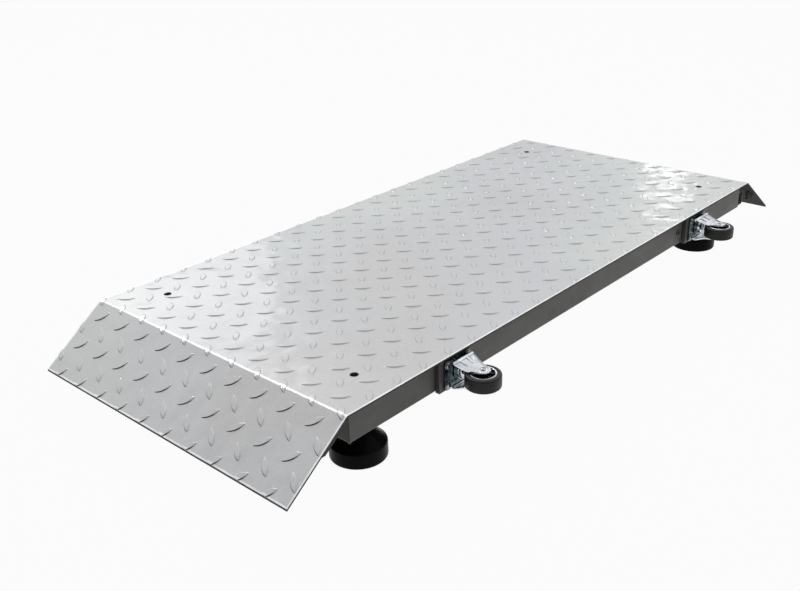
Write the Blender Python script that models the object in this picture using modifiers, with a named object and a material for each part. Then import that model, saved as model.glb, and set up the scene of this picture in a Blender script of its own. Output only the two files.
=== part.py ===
"""Portable platform scale for livestock.

One bent tread plate forms the deck and its two end ramps. It lies on a frame of
steel tubes. In each corner a shear-beam load cell hangs under a mounting plate and
stands on a screwed levelling foot, which is reached through a hole in the deck.
Two swivel casters sit on the long right side, so that the scale can be tipped up
and rolled away.

Frame: metres, +Z up, X along the deck, the casters on the -Y side. The origin is on
the floor, below the middle of the whole outline.
"""

import math

import bmesh
import bpy
from mathutils import Matrix, Vector

# Clearances
SEAT_GAP = 0.0003           # between touching faces
BOLT_CLEARANCE = 0.0004     # radial, round a bolt in its hole
RUNNING_CLEARANCE = 0.0005  # radial, round a turning part

# Deck and ramps
DECK_WIDTH = 0.560
DECK_LENGTH = 1.160         # between the two bend lines
DECK_HEIGHT = 0.128         # top of the deck above the floor
PLATE_THICKNESS = 0.0045
BEND_RADIUS = 0.004         # inside the bend
RAMP_ANGLE = math.radians(36.0)
RAMP_LENGTH = 0.1375        # down the slope, from bend line to tip
RIB_THICKNESS = 0.005
RIB_DEPTH = 0.019           # square to the ramp
RIB_LENGTH = 0.078          # down the slope, from the bend line

# Frame tubes
RAIL_INSET = 0.011          # deck edge to the rail's outer face
RAIL_WIDTH = 0.030
RAIL_HEIGHT = 0.050
RAIL_END_INSET = 0.012      # bend line to the rail's end
TUBE_WALL = 0.003
TUBE_CORNER = 0.004         # outer corner radius of every tube
CROSS_TUBE_WIDTH = 0.030
END_TUBE_SIDE = 0.030       # square tube across the far end of the rails
BOLT_TO_CELL_TUBE = 0.0264  # a load cell's inner bolt to the cross tube behind it

# Levelling feet, one under each hole in the deck
FOOT_END_INSET = 0.082      # bend line to the foot's axis
CELL_SIDE_GAP = 0.0111      # between the rail and the load cell above the foot
ACCESS_HOLE_RADIUS = 0.0062
FOOT_RADIUS = 0.042
FOOT_TOP_RADIUS = 0.019
FOOT_RIM_HEIGHT = 0.024
FOOT_HEIGHT = 0.045
FOOT_EDGE = 0.003           # rounding round the sole
STUD_RADIUS = 0.006
STUD_COLLAR_RADIUS = 0.0105
STUD_COLLAR_HEIGHT = 0.008
STUD_SOCKET_DEPTH = 0.018
STUD_KEY_RADIUS = 0.0032
STUD_KEY_DEPTH = 0.006
STUD_ABOVE_CELL = 0.002
LOCK_NUT_RADIUS = 0.0108
LOCK_NUT_HEIGHT = 0.008

# Load cells
CELL_LENGTH = 0.130
CELL_WIDTH = 0.0318
CELL_HEIGHT = 0.0318
CELL_END_TO_STUD = 0.0158
CELL_STUD_TO_BOLT = 0.0762
CELL_BOLT_SPACING = 0.0254
CELL_BOLT_RADIUS = 0.006
CELL_BOLT_HEAD_RADIUS = 0.0104
CELL_BOLT_HEAD_HEIGHT = 0.0066
CELL_POCKET_RADIUS = 0.0105
CELL_POCKET_DEPTH = 0.006
CELL_POCKET_FROM_STUD = 0.043
CELL_PLATE_THICKNESS = 0.010
CELL_PLATE_WIDTH = 0.070
CELL_PLATE_LENGTH = 0.070
CELL_SHIM = 0.003           # step that lifts the cell's free end clear of the plate

# Casters on the right rail
CASTER_INSETS = {"near": 0.228, "far": 0.212}  # bend line to the swivel axis
CASTER_BLOCK_LENGTH = 0.092
CASTER_BLOCK_THICKNESS = 0.008
CASTER_PLATE_LENGTH = 0.074
CASTER_PLATE_HEIGHT = 0.047
CASTER_PLATE_THICKNESS = 0.0025
CASTER_PLATE_CORNER = 0.005
CASTER_BOLT_SPACING_X = 0.060
CASTER_BOLT_SPACING_Z = 0.029
CASTER_BOLT_RADIUS = 0.003
CASTER_BOLT_HEAD_RADIUS = 0.0056
CASTER_BOLT_HEAD_HEIGHT = 0.0032
CASTER_BOLT_HOLE_DEPTH = 0.0066
RACE_RADIUS = 0.015
RACE_HEIGHT = 0.0034
KINGPIN_RADIUS = 0.0045
KINGPIN_HEAD_RADIUS = 0.008
KINGPIN_HEAD_HEIGHT = 0.002
FORK_THICKNESS = 0.0025
FORK_GAP = 0.025            # between the two legs
FORK_CROWN_RADIUS = 0.026
FORK_END_RADIUS = 0.0138
CASTER_TRAIL = 0.008        # swivel axis to axle
AXLE_REACH = 0.0448         # mounting plate's outer face to axle
AXLE_RADIUS = 0.003
AXLE_HEAD_RADIUS = 0.0055
AXLE_HEAD_HEIGHT = 0.0032
WHEEL_RADIUS = 0.0265
WHEEL_WIDTH = 0.021
WHEEL_SHOULDER = 0.003
HUB_RADIUS = 0.0192
HUB_RIM = 0.0020
HUB_RECESS = 0.0030
HUB_BOSS_RADIUS = 0.0075
HUB_BOSS_PROUD = 0.0010

# Junction box under the deck, and the cable outlet in the right rail
BOX_LENGTH = 0.110
BOX_WIDTH = 0.080
BOX_HEIGHT = 0.034
BOX_WALL = 0.0025
BOX_CORNER = 0.006
BOX_LID_THICKNESS = 0.003
BOX_Y = 0.0
OUTLET_TO_BLOCK = 0.015
OUTLET_RADIUS = 0.0045
GROMMET_FLANGE_RADIUS = 0.0062
GROMMET_FLANGE_THICKNESS = 0.0012
GROMMET_BORE_RADIUS = 0.0026

# Heights and widths that follow
DECK_UNDERSIDE = DECK_HEIGHT - PLATE_THICKNESS
RAIL_TOP = DECK_UNDERSIDE - SEAT_GAP
RAIL_BOTTOM = RAIL_TOP - RAIL_HEIGHT
RAIL_MIDDLE = (RAIL_TOP + RAIL_BOTTOM) / 2
RAIL_OUT = DECK_WIDTH / 2 - RAIL_INSET
RAIL_IN = RAIL_OUT - RAIL_WIDTH
RAIL_END = DECK_LENGTH / 2 - RAIL_END_INSET
FOOT_X = DECK_LENGTH / 2 - FOOT_END_INSET
FOOT_Y = RAIL_IN - CELL_SIDE_GAP - CELL_WIDTH / 2
CELL_TUBE_X = FOOT_X - CELL_STUD_TO_BOLT - CELL_BOLT_SPACING - BOLT_TO_CELL_TUBE - CROSS_TUBE_WIDTH / 2
CELL_PLATE_BOTTOM = RAIL_TOP - CELL_PLATE_THICKNESS
CELL_TOP = CELL_PLATE_BOTTOM - CELL_SHIM - SEAT_GAP
CELL_BOTTOM = CELL_TOP - CELL_HEIGHT
BLOCK_FACE = RAIL_OUT + SEAT_GAP + CASTER_BLOCK_THICKNESS
PLATE_FACE = BLOCK_FACE + SEAT_GAP + CASTER_PLATE_THICKNESS
CROWN_BACK = PLATE_FACE + RACE_HEIGHT + SEAT_GAP
CROWN_FACE = CROWN_BACK + FORK_THICKNESS
AXLE_OUT = PLATE_FACE + AXLE_REACH
FORK_HALF_HEIGHT = FORK_GAP / 2 + FORK_THICKNESS

CASTER_X = {
    "near": CASTER_INSETS["near"] - DECK_LENGTH / 2,
    "far": DECK_LENGTH / 2 - CASTER_INSETS["far"],
}
OUTLET_X = CASTER_X["far"] - CASTER_BLOCK_LENGTH / 2 - OUTLET_TO_BLOCK

# The outline runs from the deck's left edge to the wheels, and its middle is the origin
CENTRE_Y = (AXLE_OUT + WHEEL_RADIUS - DECK_WIDTH / 2) / 2

SIDES = {"right": -1, "left": 1}
ENDS = {"near": -1, "far": 1}

ROUND_STEPS = 32
SMALL_STEPS = 16

parts = None
cutters = None


def clear_scene():
    for item in list(bpy.data.objects):
        bpy.data.objects.remove(item, do_unlink=True)


def new_collection(name):
    group = bpy.data.collections.new(name)
    bpy.context.scene.collection.children.link(group)
    return group


def paint(name, colour, roughness, metallic):
    """A Principled material, shared by the pieces with the same finish."""
    material = bpy.data.materials.get(name)
    if material is None:
        material = bpy.data.materials.new(name)
        material.use_nodes = True
        shader = material.node_tree.nodes["Principled BSDF"]
        shader.inputs["Base Color"].default_value = (*colour, 1.0)
        shader.inputs["Roughness"].default_value = roughness
        shader.inputs["Metallic"].default_value = metallic
    return material


def deck_paint():
    return paint("silver deck paint", (0.60, 0.61, 0.62), 0.45, 0.35)


def frame_paint():
    return paint("grey frame paint", (0.11, 0.11, 0.10), 0.50, 0.0)


def zinc_plate():
    return paint("bright zinc plate", (0.70, 0.74, 0.78), 0.25, 1.0)


def plain_steel():
    return paint("plain steel", (0.45, 0.45, 0.46), 0.40, 1.0)


def nickel_plate():
    return paint("nickel plate", (0.62, 0.60, 0.55), 0.30, 1.0)


def black_rubber():
    return paint("black rubber", (0.012, 0.013, 0.012), 0.55, 0.0)


def black_plastic():
    return paint("black plastic", (0.02, 0.02, 0.02), 0.40, 0.0)


def grey_plastic():
    return paint("grey plastic", (0.30, 0.31, 0.32), 0.50, 0.0)


def across(x, y, z):
    """Place for an outline drawn in X and Z, raised along Y."""
    return Matrix.Translation((x, CENTRE_Y + y, z)) @ Matrix.Rotation(math.pi / 2, 4, "X")


def along(x, y, z):
    """Place for an outline drawn in Y and Z, raised along X."""
    turn = Matrix(((0, 0, 1), (1, 0, 0), (0, 1, 0))).to_4x4()
    return Matrix.Translation((x, CENTRE_Y + y, z)) @ turn


def upright(x, y, z):
    """Place for an outline drawn in X and Y, raised along Z."""
    return Matrix.Translation((x, CENTRE_Y + y, z))


def as_cutter(item):
    """Take a shape out of the parts: it only cuts or joins another one."""
    for group in list(item.users_collection):
        group.objects.unlink(item)
    cutters.objects.link(item)
    item.hide_render = True
    item.display_type = "WIRE"
    return item


def add_object(name, mesh, place, material, smooth_angle=None):
    item = bpy.data.objects.new(name, mesh)
    item.matrix_world = place
    mesh.materials.clear()
    mesh.materials.append(material)
    if smooth_angle is not None:
        mesh.shade_smooth()
        mesh.set_sharp_from_angle(angle=smooth_angle)
    parts.objects.link(item)
    return item


def curve_to_mesh(item):
    """Replace a curve object by a mesh with its caps welded, in the same place."""
    name = item.name
    place = item.matrix_world.copy()
    item.name = name + "_curve"
    bpy.context.view_layer.update()
    evaluated = item.evaluated_get(bpy.context.evaluated_depsgraph_get())
    mesh = bpy.data.meshes.new_from_object(evaluated)
    mesh.name = name
    work = bmesh.new()
    work.from_mesh(mesh)
    bmesh.ops.remove_doubles(work, verts=work.verts, dist=1e-6)
    work.to_mesh(mesh)
    work.free()
    material = item.data.materials[0]
    bpy.data.objects.remove(item, do_unlink=True)
    return add_object(name, mesh, place, material)


def outline(name, loops, depth, place, material):
    """Raise flat closed loops by a depth; the loops after the first are holes."""
    curve = bpy.data.curves.new(name, "CURVE")
    curve.dimensions = "2D"
    curve.fill_mode = "BOTH"
    curve.extrude = depth / 2
    for loop in loops:
        spline = curve.splines.new("POLY")
        spline.points.add(len(loop) - 1)
        for point, (u, v) in zip(spline.points, loop):
            point.co = (u, v, 0.0, 1.0)
        spline.use_cyclic_u = True
    curve.materials.append(material)
    item = bpy.data.objects.new(name, curve)
    item.matrix_world = place
    parts.objects.link(item)
    return curve_to_mesh(item)


def arc(centre, radius, start, stop, steps):
    """Points on an arc, ends included; the angles are in radians."""
    points = []
    for step in range(steps + 1):
        angle = start + (stop - start) * step / steps
        points.append((centre[0] + radius * math.cos(angle), centre[1] + radius * math.sin(angle)))
    return points


def circle(centre, radius, steps=SMALL_STEPS):
    return arc(centre, radius, 0.0, 2 * math.pi * (steps - 1) / steps, steps - 1)


def rounded_rectangle(width, height, corner, steps=3):
    """A closed loop round the origin with rounded corners."""
    loop = []
    for turn, (su, sv) in enumerate(((1, 1), (-1, 1), (-1, -1), (1, -1))):
        centre = (su * (width / 2 - corner), sv * (height / 2 - corner))
        start = turn * math.pi / 2
        loop += arc(centre, corner, start, start + math.pi / 2, steps)
    return loop


def turned(name, profile, place, material, steps=ROUND_STEPS, closed=False):
    """Turn a profile of (radius, height) points round the local Z axis."""
    mesh = bpy.data.meshes.new(name)
    edges = [(i, i + 1) for i in range(len(profile) - 1)]
    if closed:
        edges.append((len(profile) - 1, 0))
    mesh.from_pydata([(radius, 0.0, height) for radius, height in profile], edges, [])
    item = add_object(name, mesh, place, material)
    screw = item.modifiers.new("turn", "SCREW")
    screw.axis = "Z"
    screw.steps = steps
    screw.render_steps = steps
    screw.use_merge_vertices = True
    screw.merge_threshold = 1e-6
    screw.use_smooth_shade = True
    return item


def prism(name, radius, depth, sides, place, material, turn=0.0):
    """A straight prism or cylinder, centred on its place and raised along local Z."""
    work = bmesh.new()
    bmesh.ops.create_cone(work, cap_ends=True, segments=sides, radius1=radius, radius2=radius,
                          depth=depth, matrix=Matrix.Rotation(turn, 4, "Z"))
    mesh = bpy.data.meshes.new(name)
    work.to_mesh(mesh)
    work.free()
    return add_object(name, mesh, place, material, math.radians(35))


def block(name, low, high, material):
    """A plain block between two corners, Y counted from the deck's centre line."""
    low, high = Vector(low), Vector(high)
    work = bmesh.new()
    bmesh.ops.create_cube(work, size=1.0, matrix=Matrix.Diagonal((*(high - low), 1.0)))
    mesh = bpy.data.meshes.new(name)
    work.to_mesh(mesh)
    work.free()
    middle = (low + high) / 2
    return add_object(name, mesh, upright(*middle), material)


def boolean(item, other, operation):
    as_cutter(other)
    change = item.modifiers.new(operation.lower(), "BOOLEAN")
    change.operation = operation
    change.solver = "EXACT"
    change.object = other
    return item


def cut(item, other):
    return boolean(item, other, "DIFFERENCE")


def join(item, other):
    return boolean(item, other, "UNION")


def bend_line():
    """The points down the far half of the bent plate: its top and its underside."""
    outer = BEND_RADIUS + PLATE_THICKNESS
    bend_x = DECK_LENGTH / 2
    centre = (bend_x - outer * math.tan(RAMP_ANGLE / 2), DECK_HEIGHT - outer)
    down = Vector((math.cos(RAMP_ANGLE), -math.sin(RAMP_ANGLE)))
    inward = Vector((-math.sin(RAMP_ANGLE), -math.cos(RAMP_ANGLE)))
    top = arc(centre, outer, math.pi / 2, math.pi / 2 - RAMP_ANGLE, 3)
    under = arc(centre, BEND_RADIUS, math.pi / 2, math.pi / 2 - RAMP_ANGLE, 3)
    tip = Vector((bend_x, DECK_HEIGHT)) + RAMP_LENGTH * down
    top.append(tuple(tip))
    under.append(tuple(tip + PLATE_THICKNESS * inward))
    return top, under


def ramp_point(slope, depth):
    """A point under the far ramp: a way down its slope and a depth below its top."""
    down = Vector((math.cos(RAMP_ANGLE), -math.sin(RAMP_ANGLE)))
    inward = Vector((-math.sin(RAMP_ANGLE), -math.cos(RAMP_ANGLE)))
    return Vector((DECK_LENGTH / 2, DECK_HEIGHT)) + slope * down + depth * inward


def rib_loop():
    """Side view of a ramp rib: it follows the ramp and ends in a level cut."""
    sunk = PLATE_THICKNESS / 2
    depth = PLATE_THICKNESS + RIB_DEPTH
    start = ramp_point(PLATE_THICKNESS, sunk)
    low = ramp_point(RIB_LENGTH, sunk)
    level = ramp_point(RIB_LENGTH, PLATE_THICKNESS)[1]
    corner = (low[0] + (low[1] - level) / math.tan(RAMP_ANGLE), level)
    shoulder = ramp_point(0.0, depth)
    inner_low = ramp_point((shoulder[1] - level) / math.sin(RAMP_ANGLE), depth)
    clear = RAIL_END + SEAT_GAP
    if shoulder[0] < clear:
        shoulder = ramp_point((clear - shoulder[0]) / math.cos(RAMP_ANGLE), depth)
    return [tuple(start), tuple(low), corner, tuple(inner_low), tuple(shoulder)]


def mirrored(loop, end):
    """A loop drawn for the far end, turned over for the near end."""
    return loop if end > 0 else [(-u, v) for u, v in reversed(loop)]


def build_deck():
    """The bent tread plate, its welded ramp ribs and the four holes above the feet."""
    top, under = bend_line()
    left_top = [(-u, v) for u, v in reversed(top)]
    left_under = [(-u, v) for u, v in under]
    loop = left_top + top + list(reversed(under)) + left_under
    deck = outline("deck_plate", [loop], DECK_WIDTH, across(0, 0, 0), deck_paint())
    for end_name, end in ENDS.items():
        for side_name, side in SIDES.items():
            y = side * (RAIL_OUT - RIB_THICKNESS / 2)
            rib = outline(f"rib_{end_name}_{side_name}", [mirrored(rib_loop(), end)],
                          RIB_THICKNESS, across(0, y, 0), deck_paint())
            join(deck, rib)
            hole = prism(f"access_{end_name}_{side_name}", ACCESS_HOLE_RADIUS, 4 * PLATE_THICKNESS,
                         SMALL_STEPS, upright(end * FOOT_X, side * FOOT_Y, DECK_HEIGHT), deck_paint())
            cut(deck, hole)
    return deck


def tube_loops(width, height):
    """Outer and inner outline of a tube's section."""
    inner_corner = max(TUBE_CORNER - TUBE_WALL, 0.0005)
    outer = rounded_rectangle(width, height, TUBE_CORNER)
    inner = rounded_rectangle(width - 2 * TUBE_WALL, height - 2 * TUBE_WALL, inner_corner, 1)
    return [outer, inner]


def mitre(name, side, inward):
    """A wedge that cuts a tube at 45 degrees in a near corner.

    Its slanting face runs from the corner's outside to its inside. The rest of it lies
    over the rail's place if inward is -1, or over the end tube's place if it is 1.
    """
    reach = 2 * RAIL_WIDTH
    shift = inward * SEAT_GAP / math.sqrt(8)
    corner = Vector((-RAIL_END + shift, side * (RAIL_OUT + shift)))
    slant = Vector((1, -side))
    square = Vector((-inward, -inward * side))
    loop = [corner - reach * slant, corner + reach * slant, corner + 2 * reach * square]
    return outline(name, [[tuple(point) for point in loop]], 2 * RAIL_HEIGHT,
                   upright(0, 0, RAIL_MIDDLE), frame_paint())


def build_frame():
    """Two side rails and the tubes across them; only the near corners are mitred."""
    for side_name, side in SIDES.items():
        y = side * (RAIL_OUT - RAIL_WIDTH / 2)
        rail = outline(f"side_rail_{side_name}", tube_loops(RAIL_WIDTH, RAIL_HEIGHT),
                       2 * RAIL_END, along(0, y, RAIL_MIDDLE), frame_paint())
        if side < 0:
            outlet = prism("outlet_hole", OUTLET_RADIUS + SEAT_GAP, RAIL_WIDTH, SMALL_STEPS,
                           across(OUTLET_X, -RAIL_OUT, RAIL_MIDDLE), frame_paint())
            cut(rail, outlet)
        cut(rail, mitre(f"rail_mitre_{side_name}", side, 1))
    near_x = -RAIL_END + RAIL_WIDTH / 2
    near_tube = outline("near_end_tube", tube_loops(RAIL_WIDTH, RAIL_HEIGHT), 2 * RAIL_OUT,
                        across(near_x, 0, RAIL_MIDDLE), frame_paint())
    for side_name, side in SIDES.items():
        cut(near_tube, mitre(f"tube_mitre_{side_name}", side, -1))
    length = 2 * (RAIL_IN - SEAT_GAP)
    stations = {
        "near_cell_tube": -CELL_TUBE_X,
        "centre_tube": 0.0,
        "far_cell_tube": CELL_TUBE_X,
    }
    for name, x in stations.items():
        outline(name, tube_loops(CROSS_TUBE_WIDTH, RAIL_HEIGHT), length,
                across(x, 0, RAIL_MIDDLE), frame_paint())
    end_length = 2 * (RAIL_OUT - RIB_THICKNESS - SEAT_GAP)
    end_x = RAIL_END + SEAT_GAP + END_TUBE_SIDE / 2
    outline("far_end_tube", tube_loops(END_TUBE_SIDE, END_TUBE_SIDE), end_length,
            across(end_x, 0, RAIL_BOTTOM + END_TUBE_SIDE / 2), frame_paint())


def build_outlet():
    """The grommet that leads the cable out through the right rail."""
    profile = [
        (GROMMET_FLANGE_RADIUS, GROMMET_FLANGE_THICKNESS + SEAT_GAP),
        (GROMMET_FLANGE_RADIUS, SEAT_GAP),
        (OUTLET_RADIUS, SEAT_GAP),
        (OUTLET_RADIUS, -TUBE_WALL - SEAT_GAP),
        (GROMMET_BORE_RADIUS, -TUBE_WALL - SEAT_GAP),
        (GROMMET_BORE_RADIUS, GROMMET_FLANGE_THICKNESS + SEAT_GAP),
    ]
    turned("cable_grommet", profile, across(OUTLET_X, -RAIL_OUT, RAIL_MIDDLE), black_rubber(),
           SMALL_STEPS, closed=True)


def hex_bolt(name, head_radius, head_height, shank_radius, shank_length, place, material):
    """A hexagon bolt: its head stands on local Z 0 and its shank points down local -Z."""
    head = prism(name, head_radius, head_height, 6,
                 place @ Matrix.Translation((0, 0, head_height / 2)), material)
    overlap = head_height / 2
    shank = prism(name + "_shank", shank_radius, shank_length + overlap, SMALL_STEPS,
                  place @ Matrix.Translation((0, 0, (overlap - shank_length) / 2)), material)
    return join(head, shank)


def build_cell(end_name, end, side_name, side):
    """A load cell with its mounting plate and two bolts, at one corner."""
    corner = f"{end_name}_{side_name}"
    hole = STUD_RADIUS + BOLT_CLEARANCE
    bolt_hole = CELL_BOLT_RADIUS + BOLT_CLEARANCE
    foot_x = end * FOOT_X
    foot_y = side * FOOT_Y
    bolts = [foot_x - end * (CELL_STUD_TO_BOLT + step * CELL_BOLT_SPACING) for step in (0, 1)]
    middle_x = foot_x + end * (CELL_END_TO_STUD - CELL_LENGTH / 2)

    loops = [rounded_rectangle(CELL_LENGTH, CELL_WIDTH, 0.001, 1), circle((foot_x - middle_x, 0), hole)]
    loops += [circle((x - middle_x, 0), bolt_hole) for x in bolts]
    cell = outline(f"load_cell_{corner}", loops, CELL_HEIGHT,
                   upright(middle_x, foot_y, (CELL_TOP + CELL_BOTTOM) / 2), nickel_plate())
    for face in (-1, 1):
        pocket_y = foot_y + face * CELL_WIDTH / 2
        pocket = prism(f"pocket_{corner}_{face}", CELL_POCKET_RADIUS, 2 * CELL_POCKET_DEPTH, SMALL_STEPS,
                       across(foot_x - end * CELL_POCKET_FROM_STUD, pocket_y, (CELL_TOP + CELL_BOTTOM) / 2),
                       nickel_plate())
        cut(cell, pocket)

    inner_x = end * (CELL_TUBE_X + CROSS_TUBE_WIDTH / 2 + SEAT_GAP)
    outer_x = inner_x + end * CELL_PLATE_LENGTH
    near_y = side * (RAIL_IN - SEAT_GAP)
    far_y = near_y - side * CELL_PLATE_WIDTH
    low = (min(inner_x, outer_x), min(near_y, far_y), CELL_PLATE_BOTTOM)
    high = (max(inner_x, outer_x), max(near_y, far_y), RAIL_TOP)
    plate = block(f"cell_plate_{corner}", low, high, plain_steel())
    shim_half = CELL_WIDTH / 2 - SEAT_GAP
    shim_reach = abs(bolts[0] - inner_x) + CELL_BOLT_HEAD_RADIUS
    shim_end = inner_x + end * shim_reach
    shim = block(f"shim_{corner}",
                 (min(inner_x, shim_end) + SEAT_GAP, foot_y - shim_half, CELL_PLATE_BOTTOM - CELL_SHIM),
                 (max(inner_x, shim_end) - SEAT_GAP, foot_y + shim_half, RAIL_TOP - SEAT_GAP),
                 plain_steel())
    join(plate, shim)
    for number, x in enumerate(bolts, start=1):
        bore = prism(f"plate_bore_{corner}_{number}", bolt_hole, 4 * CELL_PLATE_THICKNESS, SMALL_STEPS,
                     upright(x, foot_y, CELL_PLATE_BOTTOM), plain_steel())
        cut(plate, bore)
        seat = CELL_BOTTOM - SEAT_GAP
        length = RAIL_TOP - SEAT_GAP - seat
        turn = Matrix.Rotation(math.pi, 4, "X")
        hex_bolt(f"cell_bolt_{corner}_{number}", CELL_BOLT_HEAD_RADIUS, CELL_BOLT_HEAD_HEIGHT,
                 CELL_BOLT_RADIUS, length, upright(x, foot_y, seat) @ turn, plain_steel())


def build_foot(end_name, end, side_name, side):
    """A rubber foot, the threaded stud that stands in it and the nut that locks it."""
    corner = f"{end_name}_{side_name}"
    place = upright(end * FOOT_X, side * FOOT_Y, 0.0)
    bore = STUD_RADIUS + RUNNING_CLEARANCE
    floor = FOOT_HEIGHT - STUD_SOCKET_DEPTH
    edge = arc((FOOT_RADIUS - FOOT_EDGE, FOOT_EDGE), FOOT_EDGE, 0.0, -math.pi / 2, 3)
    profile = [
        (0.0, floor), (bore, floor), (bore, FOOT_HEIGHT),
        (FOOT_TOP_RADIUS - FOOT_EDGE / 2, FOOT_HEIGHT),
        (FOOT_TOP_RADIUS, FOOT_HEIGHT - FOOT_EDGE / 2),
        (FOOT_RADIUS - FOOT_EDGE / 3, FOOT_RIM_HEIGHT + FOOT_EDGE / 3),
        (FOOT_RADIUS, FOOT_RIM_HEIGHT - FOOT_EDGE / 3),
    ]
    turned(f"foot_pad_{corner}", profile + edge + [(0.0, 0.0)], place, black_rubber())

    stud_low = floor + SEAT_GAP
    stud_high = CELL_TOP + STUD_ABOVE_CELL
    stud = prism(f"foot_stud_{corner}", STUD_RADIUS, stud_high - stud_low, SMALL_STEPS,
                 place @ Matrix.Translation((0, 0, (stud_low + stud_high) / 2)), zinc_plate())
    collar = prism(f"stud_collar_{corner}", STUD_COLLAR_RADIUS, STUD_COLLAR_HEIGHT, 6,
                   place @ Matrix.Translation((0, 0, FOOT_HEIGHT + SEAT_GAP + STUD_COLLAR_HEIGHT / 2)),
                   zinc_plate())
    join(stud, collar)
    key = prism(f"stud_key_{corner}", STUD_KEY_RADIUS, 2 * STUD_KEY_DEPTH, 6,
                place @ Matrix.Translation((0, 0, stud_high)), zinc_plate())
    cut(stud, key)

    nut_high = CELL_BOTTOM - SEAT_GAP
    nut = prism(f"lock_nut_{corner}", LOCK_NUT_RADIUS, LOCK_NUT_HEIGHT, 6,
                place @ Matrix.Translation((0, 0, nut_high - LOCK_NUT_HEIGHT / 2)), zinc_plate(),
                math.pi / 6)
    thread = prism(f"nut_thread_{corner}", STUD_RADIUS + BOLT_CLEARANCE, 2 * LOCK_NUT_HEIGHT, SMALL_STEPS,
                   place @ Matrix.Translation((0, 0, nut_high - LOCK_NUT_HEIGHT / 2)), zinc_plate())
    cut(nut, thread)


def build_caster_mount(end_name, x):
    """The spacer block on the rail, the caster's mounting plate and its four bolts."""
    holes = [(u * CASTER_BOLT_SPACING_X / 2, v * CASTER_BOLT_SPACING_Z / 2)
             for u in (-1, 1) for v in (-1, 1)]
    hole = CASTER_BOLT_RADIUS + BOLT_CLEARANCE
    block_y = -(RAIL_OUT + SEAT_GAP + CASTER_BLOCK_THICKNESS / 2)
    spacer = outline(f"caster_block_{end_name}",
                     [rounded_rectangle(CASTER_BLOCK_LENGTH, RAIL_HEIGHT, 0.0008, 1)],
                     CASTER_BLOCK_THICKNESS, across(x, block_y, RAIL_MIDDLE), frame_paint())
    for number, (u, v) in enumerate(holes, start=1):
        tapped = prism(f"tapped_{end_name}_{number}", hole, 2 * CASTER_BOLT_HOLE_DEPTH, SMALL_STEPS,
                       across(x + u, -BLOCK_FACE, RAIL_MIDDLE + v), frame_paint())
        cut(spacer, tapped)
        reach = CASTER_PLATE_THICKNESS + CASTER_BOLT_HOLE_DEPTH
        hex_bolt(f"caster_bolt_{end_name}_{number}", CASTER_BOLT_HEAD_RADIUS, CASTER_BOLT_HEAD_HEIGHT,
                 CASTER_BOLT_RADIUS, reach, across(x + u, -(PLATE_FACE + SEAT_GAP), RAIL_MIDDLE + v),
                 zinc_plate())

    plate_y = -(PLATE_FACE - CASTER_PLATE_THICKNESS / 2)
    loops = [rounded_rectangle(CASTER_PLATE_LENGTH, CASTER_PLATE_HEIGHT, CASTER_PLATE_CORNER)]
    loops += [circle(centre, hole) for centre in holes]
    plate = outline(f"caster_plate_{end_name}", loops, CASTER_PLATE_THICKNESS,
                    across(x, plate_y, RAIL_MIDDLE), zinc_plate())
    head_back = CROWN_FACE - PLATE_FACE + SEAT_GAP
    race = [
        (0.0, head_back + KINGPIN_HEAD_HEIGHT),
        (KINGPIN_HEAD_RADIUS - 0.001, head_back + KINGPIN_HEAD_HEIGHT),
        (KINGPIN_HEAD_RADIUS, head_back + KINGPIN_HEAD_HEIGHT / 2),
        (KINGPIN_HEAD_RADIUS, head_back),
        (KINGPIN_RADIUS, head_back),
        (KINGPIN_RADIUS, RACE_HEIGHT),
        (RACE_RADIUS - 0.001, RACE_HEIGHT),
        (RACE_RADIUS, RACE_HEIGHT - 0.001),
        (RACE_RADIUS, -CASTER_PLATE_THICKNESS / 2),
        (0.0, -CASTER_PLATE_THICKNESS / 2),
    ]
    kingpin = turned(f"kingpin_{end_name}", race, across(x, -PLATE_FACE, RAIL_MIDDLE), zinc_plate(), 24)
    join(plate, kingpin)


def fork_outline():
    """The fork seen square to its legs: a wide root that narrows to a round end.

    Drawn from the swivel axis, with the way out from the crown's back as the second
    coordinate. The straight edge is on the side that the wheel trails to.
    """
    root = math.sqrt(FORK_CROWN_RADIUS ** 2 - FORK_HALF_HEIGHT ** 2)
    centre = Vector((-CASTER_TRAIL, AXLE_OUT - CROWN_BACK))
    back = FORK_CROWN_RADIUS
    loop = [(-back, 0.0), (-back, FORK_THICKNESS), (-root, FORK_THICKNESS)]
    straight = Vector((-root, FORK_THICKNESS))
    flare = Vector((root, FORK_THICKNESS))
    start = tangent_angle(centre, straight, FORK_END_RADIUS, -1)
    stop = tangent_angle(centre, flare, FORK_END_RADIUS, 1)
    loop += arc(centre, FORK_END_RADIUS, start, stop, 10)
    loop += [(root, FORK_THICKNESS), (back, FORK_THICKNESS), (back, 0.0)]
    return loop


def tangent_angle(centre, point, radius, side):
    """Angle on a circle where the line from a point below it touches, on one side."""
    away = point - centre
    spread = math.acos(radius / away.length)
    angle = math.atan2(away.y, away.x) + side * spread
    if side < 0 and angle < math.pi / 2:
        angle += 2 * math.pi
    return angle


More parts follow.
